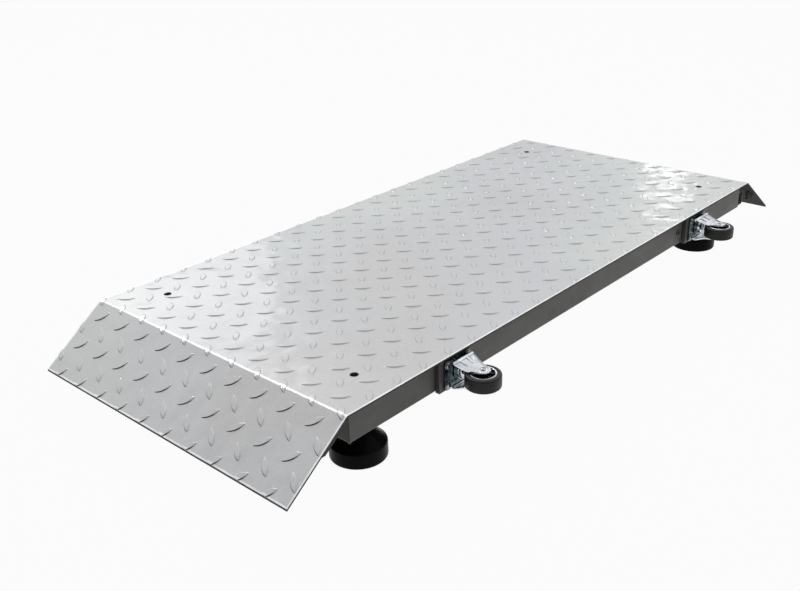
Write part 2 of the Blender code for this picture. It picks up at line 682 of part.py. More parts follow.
def build_fork(end_name, x):
    """The pressed fork: a round crown with two legs folded out beside the wheel."""
    legs_y = -(CROWN_BACK + (AXLE_OUT + FORK_END_RADIUS - CROWN_BACK) / 2)
    reach = AXLE_OUT + FORK_END_RADIUS - CROWN_BACK
    half = FORK_HALF_HEIGHT
    inner = FORK_GAP / 2
    middle = reach / 2
    channel = [
        (middle, -half), (middle, half), (-middle, half), (-middle, inner),
        (middle - FORK_THICKNESS, inner), (middle - FORK_THICKNESS, -inner),
        (-middle, -inner), (-middle, -half),
    ]
    fork = outline(f"caster_fork_{end_name}", [channel], 2 * FORK_CROWN_RADIUS,
                   along(x, legs_y, RAIL_MIDDLE), zinc_plate())
    # The shape is drawn in X and the way out, so it is turned over to point down -Y
    flat = Matrix(((1, 0, 0), (0, -1, 0), (0, 0, -1))).to_4x4()
    place = Matrix.Translation((x, CENTRE_Y - CROWN_BACK, RAIL_MIDDLE)) @ flat
    shape = outline(f"fork_shape_{end_name}", [fork_outline()], 4 * half, place, zinc_plate())
    boolean(fork, shape, "INTERSECT")
    crown = prism(f"fork_crown_{end_name}", FORK_CROWN_RADIUS, 4 * reach, ROUND_STEPS,
                  across(x, legs_y, RAIL_MIDDLE), zinc_plate())
    boolean(fork, crown, "INTERSECT")
    king_hole = prism(f"king_hole_{end_name}", KINGPIN_RADIUS + RUNNING_CLEARANCE, 4 * FORK_THICKNESS,
                      24, across(x, -(CROWN_BACK + FORK_THICKNESS / 2), RAIL_MIDDLE), zinc_plate())
    cut(fork, king_hole)
    axle_hole = prism(f"axle_hole_{end_name}", AXLE_RADIUS + BOLT_CLEARANCE, 4 * half, SMALL_STEPS,
                      upright(x - CASTER_TRAIL, -AXLE_OUT, RAIL_MIDDLE), zinc_plate())
    cut(fork, axle_hole)


def build_wheel(end_name, x):
    """The axle bolt with its nut, the wheel's hub and its tyre."""
    place = upright(x - CASTER_TRAIL, -AXLE_OUT, RAIL_MIDDLE)
    top = FORK_HALF_HEIGHT + SEAT_GAP
    axle = prism(f"caster_axle_{end_name}", AXLE_RADIUS, 2 * (top + AXLE_HEAD_HEIGHT / 2),
                 SMALL_STEPS, place, zinc_plate())
    for face in (-1, 1):
        head = prism(f"axle_head_{end_name}_{face}", AXLE_HEAD_RADIUS, AXLE_HEAD_HEIGHT, 6,
                     place @ Matrix.Translation((0, 0, face * (top + AXLE_HEAD_HEIGHT / 2))), zinc_plate())
        join(axle, head)

    half = WHEEL_WIDTH / 2
    bore = AXLE_RADIUS + RUNNING_CLEARANCE
    rim = HUB_RADIUS - HUB_RIM
    web = half - HUB_RECESS
    boss = half + HUB_BOSS_PROUD
    side = [
        (bore, boss), (HUB_BOSS_RADIUS, boss), (HUB_BOSS_RADIUS, web),
        (rim, web), (rim, half), (HUB_RADIUS, half),
    ]
    turned(f"wheel_hub_{end_name}", side + [(r, -h) for r, h in reversed(side)], place,
           black_plastic(), 24, closed=True)

    inner = HUB_RADIUS + SEAT_GAP
    shoulder = arc((WHEEL_RADIUS - WHEEL_SHOULDER, half - WHEEL_SHOULDER), WHEEL_SHOULDER,
                   math.pi / 2, 0.0, 3)
    edge = [(inner, half)] + shoulder
    turned(f"wheel_tyre_{end_name}", edge + [(r, -h) for r, h in reversed(edge)], place,
           black_rubber(), ROUND_STEPS, closed=True)


def build_junction_box():
    """The box that gathers the load cell leads, open below, and the lid that closes it."""
    x = CROSS_TUBE_WIDTH / 2 + SEAT_GAP + BOX_LENGTH / 2
    box = outline("junction_box", [rounded_rectangle(BOX_LENGTH, BOX_WIDTH, BOX_CORNER)], BOX_HEIGHT,
                  upright(x, BOX_Y, RAIL_TOP - BOX_HEIGHT / 2), grey_plastic())
    hollow = outline("box_hollow",
                     [rounded_rectangle(BOX_LENGTH - 2 * BOX_WALL, BOX_WIDTH - 2 * BOX_WALL,
                                        BOX_CORNER - BOX_WALL)],
                     BOX_HEIGHT, upright(x, BOX_Y, RAIL_TOP - BOX_HEIGHT / 2 - BOX_WALL), grey_plastic())
    cut(box, hollow)
    lid_top = RAIL_TOP - BOX_HEIGHT - SEAT_GAP
    outline("junction_box_lid", [rounded_rectangle(BOX_LENGTH, BOX_WIDTH, BOX_CORNER)],
            BOX_LID_THICKNESS, upright(x, BOX_Y, lid_top - BOX_LID_THICKNESS / 2), grey_plastic())


def main():
    global parts, cutters
    clear_scene()
    parts = new_collection("livestock scale")
    cutters = new_collection("cutters")
    build_deck()
    build_frame()
    build_outlet()
    build_junction_box()
    for end_name, end in ENDS.items():
        for side_name, side in SIDES.items():
            build_cell(end_name, end, side_name, side)
            build_foot(end_name, end, side_name, side)
    for end_name, x in CASTER_X.items():
        build_caster_mount(end_name, x)
        build_fork(end_name, x)
        build_wheel(end_name, x)


main()
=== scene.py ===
"""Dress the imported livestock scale: tread plate, painted frame, feet, load cells and casters."""

import logging
import math
from contextlib import contextmanager
from dataclasses import dataclass
from enum import Enum
from typing import Callable, Iterator, Sequence

import bmesh
import bpy
from mathutils import Matrix, Vector


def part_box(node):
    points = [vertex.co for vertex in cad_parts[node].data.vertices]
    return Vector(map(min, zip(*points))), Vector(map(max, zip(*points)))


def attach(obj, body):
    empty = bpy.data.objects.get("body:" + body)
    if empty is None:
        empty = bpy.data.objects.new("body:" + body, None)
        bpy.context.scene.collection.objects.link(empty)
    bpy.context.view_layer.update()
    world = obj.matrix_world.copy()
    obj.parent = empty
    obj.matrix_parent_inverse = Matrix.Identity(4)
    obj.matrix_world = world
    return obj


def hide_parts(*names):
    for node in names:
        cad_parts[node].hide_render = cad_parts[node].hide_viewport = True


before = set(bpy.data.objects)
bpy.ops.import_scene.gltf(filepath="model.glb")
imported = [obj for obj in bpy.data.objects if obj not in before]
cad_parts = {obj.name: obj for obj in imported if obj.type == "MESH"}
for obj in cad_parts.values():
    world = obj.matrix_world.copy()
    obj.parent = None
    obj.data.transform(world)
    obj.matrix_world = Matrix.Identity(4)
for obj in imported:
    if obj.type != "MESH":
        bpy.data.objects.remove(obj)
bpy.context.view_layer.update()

logging.basicConfig(level=logging.INFO, format="%(message)s")
LOG = logging.getLogger("livestock_scale")

Point = tuple[float, float, float]
Colour = tuple[float, float, float]
Pair = tuple[float, float]
Ring = tuple[float, float]
Stops = Sequence[tuple[float, Colour]]
Item = bpy.types.Object
Socket = bpy.types.NodeSocket

CORNERS = ("near_right", "near_left", "far_right", "far_left")
CASTERS = ("near", "far")
TUBES = ("side_rail_right", "side_rail_left", "near_end_tube", "far_end_tube", "near_cell_tube",
         "far_cell_tube", "centre_tube")
SIDES = (-1.0, 1.0)
ALONG = (1.0, 0.0, 0.0)
UP = (0.0, 0.0, 1.0)
WHITE = (1.0, 1.0, 1.0)
PAST = 0.01  # how far a drill runs past what it cuts
TILTS = {"+Z": Matrix.Identity(4), "-Z": Matrix.Rotation(math.pi, 4, "X"),
         "-Y": Matrix.Rotation(math.pi / 2, 4, "X"), "+Y": Matrix.Rotation(-math.pi / 2, 4, "X")}


class Slot(Enum):
    """The record's material slots."""

    DECK = "deck_tread"
    FRAME = "frame_paint"
    BLOCK = "block_paint"
    CASTER = "caster_zinc"
    FASTENER = "fastener_zinc"
    STUD = "stud_zinc"
    STEEL = "plain_steel"
    CELL = "cell_nickel"
    FOOT = "foot_rubber"
    TYRE = "tyre_rubber"
    HUB = "hub_plastic"
    GROMMET = "grommet_rubber"
    BOX = "box_plastic"


class Lean(Enum):
    """Which way a tread lentil leans on the plate, in degrees."""

    FALLING = -45.0
    RISING = 45.0


class Part(Enum):
    """Which elements of a mesh an edit picks."""

    EDGE = "EDGE"
    FACE = "FACE"


def only(item: Item) -> None:
    """Select one object alone and make it active."""
    bpy.ops.object.select_all(action="DESELECT")
    item.select_set(True)
    bpy.context.view_layer.objects.active = item


def new(primitive: Callable[..., object], **settings: object) -> Item:
    """Add one of Blender's primitives, selected alone."""
    bpy.ops.object.select_all(action="DESELECT")
    primitive(**settings)
    return bpy.context.object


def link(item: Item) -> Item:
    """Put a new object into the scene."""
    bpy.context.scene.collection.objects.link(item)
    return item


@contextmanager
def editing(item: Item) -> Iterator[None]:
    """Edit one object's mesh, with nothing of it selected at first."""
    only(item)
    bpy.ops.object.mode_set(mode="EDIT")
    bpy.ops.mesh.select_all(action="DESELECT")
    yield
    bpy.ops.object.mode_set(mode="OBJECT")


def pick(item: Item, part: Part, test: Callable[..., bool]) -> None:
    """Select elements in edit mode.

    Args:
        item: The object in edit mode.
        part: Whether edges or faces are picked.
        test: Says of each element whether it is picked.
    """
    bpy.ops.mesh.select_mode(type=part.value)
    mesh = bmesh.from_edit_mesh(item.data)
    for element in (*mesh.faces, *mesh.edges, *mesh.verts):
        element.select_set(False)
    for element in mesh.edges if part is Part.EDGE else mesh.faces:
        if test(element):
            element.select_set(True)
    mesh.select_flush_mode()
    bmesh.update_edit_mesh(item.data)


def cut(spot: Sequence[float], normal: Sequence[float], **sides: bool) -> None:
    """Cut all that is in edit mode along a plane.

    Args:
        spot: A point of the plane.
        normal: The plane's normal.
        sides: Blender's use_fill, clear_inner and clear_outer.
    """
    bpy.ops.mesh.select_all(action="SELECT")
    bpy.ops.mesh.bisect(plane_co=spot, plane_no=normal, **sides)


def face_outwards() -> None:
    """Turn every face in edit mode outwards."""
    bpy.ops.mesh.select_all(action="SELECT")
    bpy.ops.mesh.normals_make_consistent(inside=False)


def bake(item: Item) -> Item:
    """Apply an object's place, turn and size to its mesh."""
    only(item)
    bpy.ops.object.transform_apply(location=True, rotation=True, scale=True)
    return item


def modify(item: Item, kind: str, **settings: object) -> Item:
    """Add a modifier and apply it.

    Args:
        item: The object to change.
        kind: Blender's name of the modifier.
        settings: Its settings.

    Returns:
        The same object.
    """
    change = item.modifiers.new(kind.lower(), kind)
    for name, value in settings.items():
        setattr(change, name, value)
    only(item)
    bpy.ops.object.modifier_apply(modifier=change.name)
    return item


def combine(item: Item, other: Item, operation: str) -> Item:
    """Apply an exact Boolean with another solid, which is then removed."""
    modify(item, "BOOLEAN", operation=operation, solver="EXACT", object=other)
    bpy.data.objects.remove(other, do_unlink=True)
    return item


def soften(item: Item, width: float, steps: int = 2, angle: float = 40.0) -> Item:
    """Round the edges of a solid that are sharper than an angle in degrees."""
    return modify(item, "BEVEL", width=width, segments=steps, limit_method="ANGLE",
                  angle_limit=math.radians(angle), harden_normals=False)


def round_corners(item: Item, radius: float, steps: int) -> Item:
    """Round the upright edges of a block."""
    upright = 0.001
    with editing(item):
        pick(item, Part.EDGE,
             lambda edge: abs(edge.verts[0].co.z - edge.verts[1].co.z) > upright)
        bpy.ops.mesh.bevel(offset=radius, segments=steps)
    return item


def join_all(items: Sequence[Item]) -> Item:
    """Join several objects into the first of them."""
    only(items[0])
    for item in items:
        item.select_set(True)
    bpy.ops.object.join()
    return items[0]


def add_box(low: Sequence[float], high: Sequence[float]) -> Item:
    """Add a cube between two corners."""
    low, high = Vector(low), Vector(high)
    item = new(bpy.ops.mesh.primitive_cube_add, size=1.0, location=(low + high) / 2)
    item.scale = high - low
    return bake(item)


def add_disc(radius: float, low: float, high: float, sides: int = 64) -> Item:
    """Add an upright cylinder round the origin between two heights."""
    return bake(new(bpy.ops.mesh.primitive_cylinder_add, vertices=sides, radius=radius,
                    depth=high - low, location=(0.0, 0.0, (low + high) / 2)))


def turn(profile: Sequence[Ring], sides: int = 64, closed: bool = False) -> Item:
    """Pull a circle up through a profile, ring by ring.

    Args:
        profile: Radius and height of each ring, from the first to the last.
        sides: Points round each ring.
        closed: Whether the last ring meets the first, as on a tyre; else both are filled.

    Returns:
        A solid round the upright axis through the origin.
    """
    radius, height = profile[0]
    item = bake(new(bpy.ops.mesh.primitive_circle_add, vertices=sides, radius=radius,
                    location=(0.0, 0.0, height), fill_type="NOTHING" if closed else "NGON"))
    with editing(item):
        bpy.ops.mesh.select_all(action="SELECT")
        for ring, level in [*profile[1:], *(profile[:1] if closed else [])]:
            bpy.ops.mesh.extrude_region_move(
                TRANSFORM_OT_translate={"value": (0.0, 0.0, level - height)})
            share = ring / radius
            bpy.ops.transform.resize(value=(share, share, 1.0), center_override=(0.0, 0.0, level))
            radius, height = ring, level
        bpy.ops.mesh.select_all(action="SELECT")
        bpy.ops.mesh.remove_doubles(threshold=1e-6)
        face_outwards()
    return item


def chamfered_hexagon(radius: float, height: float, chamfer: float, both: bool = False) -> Item:
    """A hexagon head or nut that stands on height 0, with its corners turned off.

    Args:
        radius: Across its corners, halved.
        height: How tall it stands.
        chamfer: Height of the turned corner.
        both: Whether its lower corners are turned off too.

    Returns:
        The solid.
    """
    past, top = radius + 0.0002, radius - 1.6 * chamfer
    foot = [(top, 0.0), (past, chamfer)] if both else [(past, 0.0)]
    item = add_disc(radius, 0.0, height, 6)
    return combine(item, turn([*foot, (past, height - chamfer), (top, height)], 48), "INTERSECT")


def rework(name: str) -> Item:
    """A copy of a CAD node's mesh with points merged and flat faces whole, ready for edges."""
    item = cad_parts[name].copy()
    item.data = item.data.copy()
    bake(link(item))
    with editing(item):
        bpy.ops.mesh.select_all(action="SELECT")
        bpy.ops.mesh.remove_doubles(threshold=1e-5)
        bpy.ops.mesh.dissolve_limited(angle_limit=math.radians(1.0))
        face_outwards()
    return item


def place(item: Item, spot: Sequence[float], axis: str = "+Z", spin: float = 0.0) -> Item:
    """Move a piece made round the upright axis to its spot.

    Args:
        item: The piece, at the origin.
        spot: Where its origin goes.
        axis: The way its top points: +Z, -Z, +Y or -Y.
        spin: A first turn about its own axis, in degrees.

    Returns:
        The same piece, with its place in its mesh.
    """
    twist = Matrix.Rotation(math.radians(spin), 4, "Z")
    item.matrix_world = Matrix.Translation(spot) @ TILTS[axis] @ twist
    return bake(item)


def middle(name: str) -> Vector:
    """The middle of a CAD node."""
    low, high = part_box(name)
    return (low + high) / 2


def feed(tree: bpy.types.NodeTree, node: bpy.types.Node, inputs: dict[str | int, object]) -> None:
    """Link an output to each named socket of a node, or set the socket's plain value."""
    for name, value in inputs.items():
        if isinstance(value, Socket):
            tree.links.new(value, node.inputs[name])
        else:
            node.inputs[name].default_value = value


def add_node(tree: bpy.types.NodeTree, kind: str, output: str, inputs: dict[str | int, object],
             **settings: object) -> Socket:
    """Add a shader node.

    Args:
        tree: The tree that it goes into.
        kind: Blender's name of the node.
        output: The output that is wanted.
        inputs: What its sockets get: outputs or plain values.
        settings: The node's own settings.

    Returns:
        The wanted output.
    """
    node = tree.nodes.new(kind)
    for name, value in settings.items():
        setattr(node, name, value)
    feed(tree, node, inputs)
    return node.outputs[output]


def add_ramp(tree: bpy.types.NodeTree, source: Socket, stops: Stops) -> Socket:
    """Add colours spread over a value from 0 to 1."""
    node = tree.nodes.new("ShaderNodeValToRGB")
    points = node.color_ramp.elements
    while len(points) < len(stops):
        points.new(0.5)
    for point, (at, colour) in zip(points, stops):
        point.position = at
        point.color = (*colour, 1.0)
    tree.links.new(source, node.inputs["Fac"])
    return node.outputs["Color"]


class Graph:
    """A short way to write a material's nodes."""

    def __init__(self, name: str) -> None:
        """Start a material with one Principled shader."""
        self.material = bpy.data.materials.new(name)
        self.material.use_nodes = True
        self.tree = self.material.node_tree
        self.place = self.node("ShaderNodeTexCoord", "Object")

    def node(self, kind: str, output: str, inputs: dict[str | int, object] | None = None,
             **settings: object) -> Socket:
        """Add a node to the material, as add_node does."""
        return add_node(self.tree, kind, output, inputs or {}, **settings)

    def set(self, **inputs: object) -> None:
        """Link or set the shader's sockets; underscores stand for spaces."""
        feed(self.tree, self.tree.nodes["Principled BSDF"],
             {name.replace("_", " "): value for name, value in inputs.items()})

    def stretch(self, scale: Point) -> Socket:
        """Object coordinates, scaled for a pattern with a direction."""
        return self.node("ShaderNodeMapping", "Vector", {"Vector": self.place, "Scale": scale})

    def rise(self) -> Socket:
        """How far the surface faces up, from -1 to 1."""
        normal = self.node("ShaderNodeTexCoord", "Normal")
        return self.node("ShaderNodeSeparateXYZ", "Z", {"Vector": normal})

    def axis(self, name: str) -> Socket:
        """One of the object coordinates, in metres."""
        return self.node("ShaderNodeSeparateXYZ", name, {"Vector": self.place})

    def sum(self, kind: str, first: Socket, second: Socket | float = 0.0) -> Socket:
        """A sum of one or two values, of Blender's kind."""
        return self.node("ShaderNodeMath", "Value", {0: first, 1: second}, operation=kind)

    def noise(self, scale: float, detail: float = 3.0, roughness: float = 0.5,
              vector: Socket | None = None) -> Socket:
        """Soft noise, with its scale in waves a metre."""
        return self.node("ShaderNodeTexNoise", "Fac", {
            "Vector": vector or self.place, "Scale": scale, "Detail": detail,
            "Roughness": roughness})

    def ramp(self, source: Socket, stops: Stops) -> Socket:
        """Colours spread over a value from 0 to 1."""
        return add_ramp(self.tree, source, stops)

    def band(self, source: Socket, low: float, high: float, to_low: float,
             to_high: float) -> Socket:
        """Map a value's band to another band."""
        return self.node("ShaderNodeMapRange", "Result", {
            "Value": source, "From Min": low, "From Max": high, "To Min": to_low,
            "To Max": to_high})

    def mix(self, first: Socket, second: Socket, share: Socket | float,
            blend: str = "MIX") -> Socket:
        """Mix two colours."""
        return self.node("ShaderNodeMix", "Result", {"Factor": share, "A": first, "B": second},
                         data_type="RGBA", blend_type=blend)

    def bump(self, height: Socket, depth: float, under: Socket | None = None) -> Socket:
        """Turn a height into a normal, over an earlier normal if there is one."""
        earlier = {} if under is None else {"Normal": under}
        return self.node("ShaderNodeBump", "Normal",
                         {"Height": height, "Distance": depth, "Strength": 1.0, **earlier})


@dataclass(frozen=True)
class Finish:
    """A surface finish, with its plain values.

    Attributes:
        name: The material's name.
        slot: The record's slot that it belongs to; not used.
        light: The paler of its two colours.
        dark: The darker of its two colours.
        roughness: Lowest and highest roughness.
        metallic: How far it is a bare metal.
        grain: Waves a metre in its fine bump.
        grain_depth: Depth of the fine bump in metres.
        patch: Waves a metre in its cloudy colour.
        shine: The shader's specular level.
    """

    name: str
    slot: Slot
    light: Colour
    dark: Colour
    roughness: Pair
    metallic: float = 0.0
    grain: float = 500.0
    grain_depth: float = 0.00004
    patch: float = 20.0
    shine: float = 0.5

    def cloud(self, graph: Graph, detail: float = 4.0) -> Socket:
        """The two colours in soft clouds."""
        return graph.ramp(graph.noise(self.patch, detail, 0.6),
                          [(0.3, self.dark), (0.7, self.light)])

    def start(self) -> Graph:
        """A cloudy base colour, uneven roughness and a fine grain."""
        graph = Graph(self.name)
        worn = graph.noise(self.patch * 3.0, 3.0, 0.6)
        graph.set(Base_Color=self.cloud(graph),
                  Roughness=graph.band(worn, 0.3, 0.7, *self.roughness),
                  Normal=graph.bump(graph.noise(self.grain, 2.0), self.grain_depth),
                  Metallic=self.metallic, Specular_IOR_Level=self.shine)
        return graph

    def material(self) -> bpy.types.Material:
        """The finished material."""
        return self.start().material


FLAKES = [(0.35, (0.86, 0.86, 0.86)), (0.65, WHITE)]
TINTS = [(0.35, (1.0, 0.98, 0.975)), (0.5, (0.975, 0.98, 1.0)), (0.65, (0.98, 1.0, 0.97))]
# Painted highlight: pale colours for the worn edges, lightened to stand in for their highlight.
WORN_HIGHLIGHT = [(0.3, (0.90, 0.91, 0.91)), (0.7, (0.98, 0.98, 0.98))]
# Painted shade: dark primer colours, given to faces turned down or aside for the shade they would
# have.
DULL_PRIMER_SHADE = [(0.3, (0.064, 0.065, 0.062)), (0.7, (0.086, 0.086, 0.081))]


@dataclass(frozen=True)
class TreadPaint(Finish):
    """Silver paint with metal flakes over rolled plate, with painted shade on faces turned down or
    aside and a painted highlight on worn edges.

    Attributes:
        flake: Flakes a metre.
        tint: Waves a metre in the faint tints.
        wave: Waves a metre in the plate's own unevenness.
        wave_depth: How deep those waves are, in metres.
        primer_shade_rise: Upward share of the normal from which the dark primer, painted shade on
            faces turned down or aside, gives way to silver.
        coat: Weight of the clear coat on the silver.
        dull: Roughness of the primer that carries the painted shade.
        centre_y: The plate's centre line.
        half_width: From the centre line to the side edges.
        bend_x: Distance of the bends from the middle.
        tip_x: Distance of the tips from the middle.
        side_wear_highlight: Where the worn band with its painted highlight starts and is full, in
            from the side edges.
        tip_wear_highlight: The same, in from the tips.
        bend_wear_highlight: The same, on both sides of a bend.
    """

    flake: float = 480.0
    tint: float = 2.6
    wave: float = 17.0
    wave_depth: float = 0.0030
    # Painted shade: below this rise of the normal, faces take the dark primer.
    primer_shade_rise: Pair = (0.26, 0.40)
    coat: float = 0.6
    dull: float = 0.85
    centre_y: float = 0.0357
    half_width: float = 0.2800
    bend_x: float = 0.5795
    tip_x: float = 0.6892
    # Painted highlight: bands along the sides, tips and bends that are worn and lightened.
    side_wear_highlight: Pair = (0.0030, 0.0022)
    tip_wear_highlight: Pair = (0.0026, 0.0018)
    bend_wear_highlight: Pair = (0.0022, 0.0010)

    def worn_and_highlit(self, graph: Graph) -> Socket:
        """Where the paint is worn and lightened as a painted highlight: the bends, the sides and
        the tips.
        """
        across = graph.sum("ABSOLUTE", graph.sum("SUBTRACT", graph.axis("Y"), self.centre_y))
        along = graph.sum("ABSOLUTE", graph.axis("X"))
        bend = graph.sum("ABSOLUTE", graph.sum("SUBTRACT", along, self.bend_x))
        side = graph.band(across, *(self.half_width - rub for rub in self.side_wear_highlight), 0.0, 1.0)
        tip = graph.band(along, *(self.tip_x - rub for rub in self.tip_wear_highlight), 0.0, 1.0)
        crest = graph.band(bend, *self.bend_wear_highlight, 0.0, 1.0)
        edges = graph.sum("MAXIMUM", graph.sum("MAXIMUM", side, tip), crest)
        patchy = graph.band(graph.noise(45.0, 3.0), 0.35, 0.6, 0.55, 0.95)
        return graph.sum("MULTIPLY", edges, patchy)

    def over_primer_shade(self, graph: Graph, low: float, high: float) -> Socket:
        """A value that passes from the primer's, which paints shade on faces turned down or aside,
        to the silver's as the surface turns up.
        """
        return graph.band(graph.rise(), *self.primer_shade_rise, low, high)

    def material(self) -> bpy.types.Material:
        """Flakes, faint tints and a clear coat over wavy plate; worn edges lightened as a painted
        highlight, and dull dark primer below and on faces turned aside as painted shade.
        """
        graph = self.start()
        flakes = graph.ramp(graph.noise(self.flake, 4.0, 0.8), FLAKES)
        tints = graph.ramp(graph.noise(self.tint, 1.0), TINTS)
        # Painted shade: the dark primer colour for faces turned down or aside.
        primer_shade = graph.ramp(graph.noise(40.0, 3.0), DULL_PRIMER_SHADE)
        # Painted highlight: the pale worn-edge colour, mixed in along the sides, tips and bends.
        bright = graph.ramp(graph.noise(300.0, 2.0), WORN_HIGHLIGHT)
        silver = graph.mix(self.cloud(graph), flakes, 1.0, "MULTIPLY")
        silver = graph.mix(silver, tints, 1.0, "MULTIPLY")
        # Painted highlight: the worn bands are lightened here.
        silver = graph.mix(silver, bright, self.worn_and_highlit(graph))
        waves = graph.bump(graph.noise(self.wave, 2.0, 0.45), self.wave_depth)
        # Painted shade: faces turned down or aside, lentil and plate sides included, get the dark
        # primer.
        graph.set(Base_Color=graph.mix(primer_shade, silver, self.over_primer_shade(graph, 0.0, 1.0)),
                  Roughness=self.over_primer_shade(graph, self.dull, self.roughness[0]),
                  Coat_Weight=self.over_primer_shade(graph, 0.0, self.coat),
                  Metallic=self.over_primer_shade(graph, 0.0, self.metallic),
                  Normal=graph.bump(graph.noise(self.grain, 2.0), self.grain_depth, waves),
                  Coat_Normal=waves, Coat_Roughness=0.11)
        return graph.material


@dataclass(frozen=True)
class FramePaint(Finish):
    """Dark paint over welded tube, with dust on it."""

    def material(self) -> bpy.types.Material:
        """Orange peel, streaks along the tube and pale dust."""
        graph = self.start()
        streaks = graph.noise(30.0, 3.0, 0.6, graph.stretch((0.12, 1.0, 1.0)))
        pale = tuple(1.25 * part for part in self.light)
        dusty = graph.ramp(streaks, [(0.45, self.dark), (0.8, pale)])
        graph.set(Base_Color=graph.mix(self.cloud(graph, 5.0), dusty, 0.4))
        return graph.material


@dataclass(frozen=True)
class BrightPlate(Finish):
    """Bright plated steel with faint drawn lines.

    Attributes:
        brush: Stretch of the drawn lines along X, Y and Z.
    """

    brush: Point = (0.08, 1.0, 1.0)

    def material(self) -> bpy.types.Material:
        """Fine lines in the roughness and the bump over a cloudy bright metal."""
        graph = self.start()
        lines = graph.noise(self.grain, 3.0, 0.6, graph.stretch(self.brush))
        waves = graph.bump(graph.noise(self.patch * 1.5, 2.0), 0.0006)
        graph.set(Roughness=graph.band(lines, 0.3, 0.7, *self.roughness),
                  Normal=graph.bump(lines, self.grain_depth, waves))
        return graph.material


@dataclass(frozen=True)
class Moulded(Finish):
    """Moulded rubber or plastic, with a pebbled skin and a little dust."""

    def material(self) -> bpy.types.Material:
        """A pebbled skin and dust in soft patches."""
        graph = self.start()
        dust = graph.noise(self.patch * 4.0, 5.0, 0.65)
        graph.set(Base_Color=graph.ramp(dust, [(0.55, self.dark), (0.85, self.light)]))
        return graph.material


TREAD = TreadPaint("tread_paint", Slot.DECK, (0.62, 0.625, 0.625), (0.54, 0.545, 0.545),
                   (0.40, 0.47), 0.40, 700.0, 0.00003, 3.0)
# Painted shade: the ramp ribs' paint is darker than the frame's to stand in for the shade under
# the ramps.
SHADED_PRIMER = FramePaint("ramp_primer_shaded", Slot.FRAME, (0.092, 0.092, 0.086), (0.074, 0.074, 0.069),
                    (0.75, 0.88), 0.0, 320.0, 0.00006, 12.0, 0.3)
FRAME = FramePaint("frame_paint", Slot.FRAME, (0.180, 0.177, 0.164), (0.140, 0.137, 0.126),
                   (0.36, 0.52), 0.0, 320.0, 0.00006, 12.0, 0.2)
BLOCK = FramePaint("block_paint", Slot.BLOCK, (0.130, 0.124, 0.112), (0.095, 0.091, 0.082),
                   (0.34, 0.50), 0.0, 320.0, 0.00006, 25.0, 0.35)
CASTER_ZINC = BrightPlate("caster_zinc", Slot.CASTER, (0.94, 0.95, 0.96), (0.38, 0.42, 0.46),
                          (0.08, 0.20), 1.0, 900.0, 0.00001, 55.0)
# Painted shade and reflection: the caster plate's zinc is darkened to a dark teal, as if in shade
# reflecting dark surroundings.
SHADED_PLATE_ZINC = BrightPlate("plate_zinc_shaded", Slot.CASTER, (0.15, 0.20, 0.21), (0.03, 0.05, 0.055),
                         (0.14, 0.30), 1.0, 900.0, 0.00001, 90.0)
DARK_ZINC = BrightPlate("dark_zinc", Slot.FASTENER, (0.46, 0.46, 0.43), (0.08, 0.08, 0.07),
                        (0.10, 0.24), 1.0, 900.0, 0.00001, 160.0)
FASTENER_ZINC = BrightPlate("fastener_zinc", Slot.FASTENER, (0.78, 0.80, 0.80),
                            (0.56, 0.58, 0.58), (0.14, 0.26), 1.0, 900.0, 0.00001, 90.0)
STUD_ZINC = BrightPlate("stud_zinc", Slot.STUD, (0.74, 0.75, 0.74), (0.54, 0.56, 0.56),
                        (0.20, 0.36), 1.0, 700.0, 0.00002, 60.0)
PLAIN_STEEL = BrightPlate("plain_steel", Slot.STEEL, (0.42, 0.41, 0.40), (0.28, 0.27, 0.26),
                          (0.32, 0.50), 1.0, 500.0, 0.00003, 40.0)
CELL_NICKEL = BrightPlate("cell_nickel", Slot.CELL, (0.66, 0.64, 0.59), (0.54, 0.52, 0.48),
                          (0.20, 0.34), 1.0, 600.0, 0.00002, 30.0, brush=(0.05, 1.0, 1.0))
FOOT_RUBBER = Moulded("foot_rubber", Slot.FOOT, (0.007, 0.008, 0.007), (0.003, 0.004, 0.003),
                      (0.20, 0.34), 0.0, 900.0, 0.00002, 15.0, 0.05)
TYRE_RUBBER = Moulded("tyre_rubber", Slot.TYRE, (0.026, 0.028, 0.024), (0.014, 0.016, 0.013),
                      (0.30, 0.46), 0.0, 1500.0, 0.00002, 40.0, 0.25)
HUB_PLASTIC = Moulded("hub_plastic", Slot.HUB, (0.014, 0.014, 0.014), (0.006, 0.006, 0.006),
                      (0.20, 0.34), 0.0, 1200.0, 0.00002, 60.0, 0.3)
GROMMET_RUBBER = Moulded("grommet_rubber", Slot.GROMMET, (0.090, 0.090, 0.086),
                         (0.050, 0.050, 0.048), (0.26, 0.40), 0.0, 1500.0, 0.00002, 80.0)
BOX_PLASTIC = Moulded("box_plastic", Slot.BOX, (0.34, 0.35, 0.36), (0.26, 0.27, 0.28),
                      (0.36, 0.50), 0.0, 1500.0, 0.00003, 25.0)


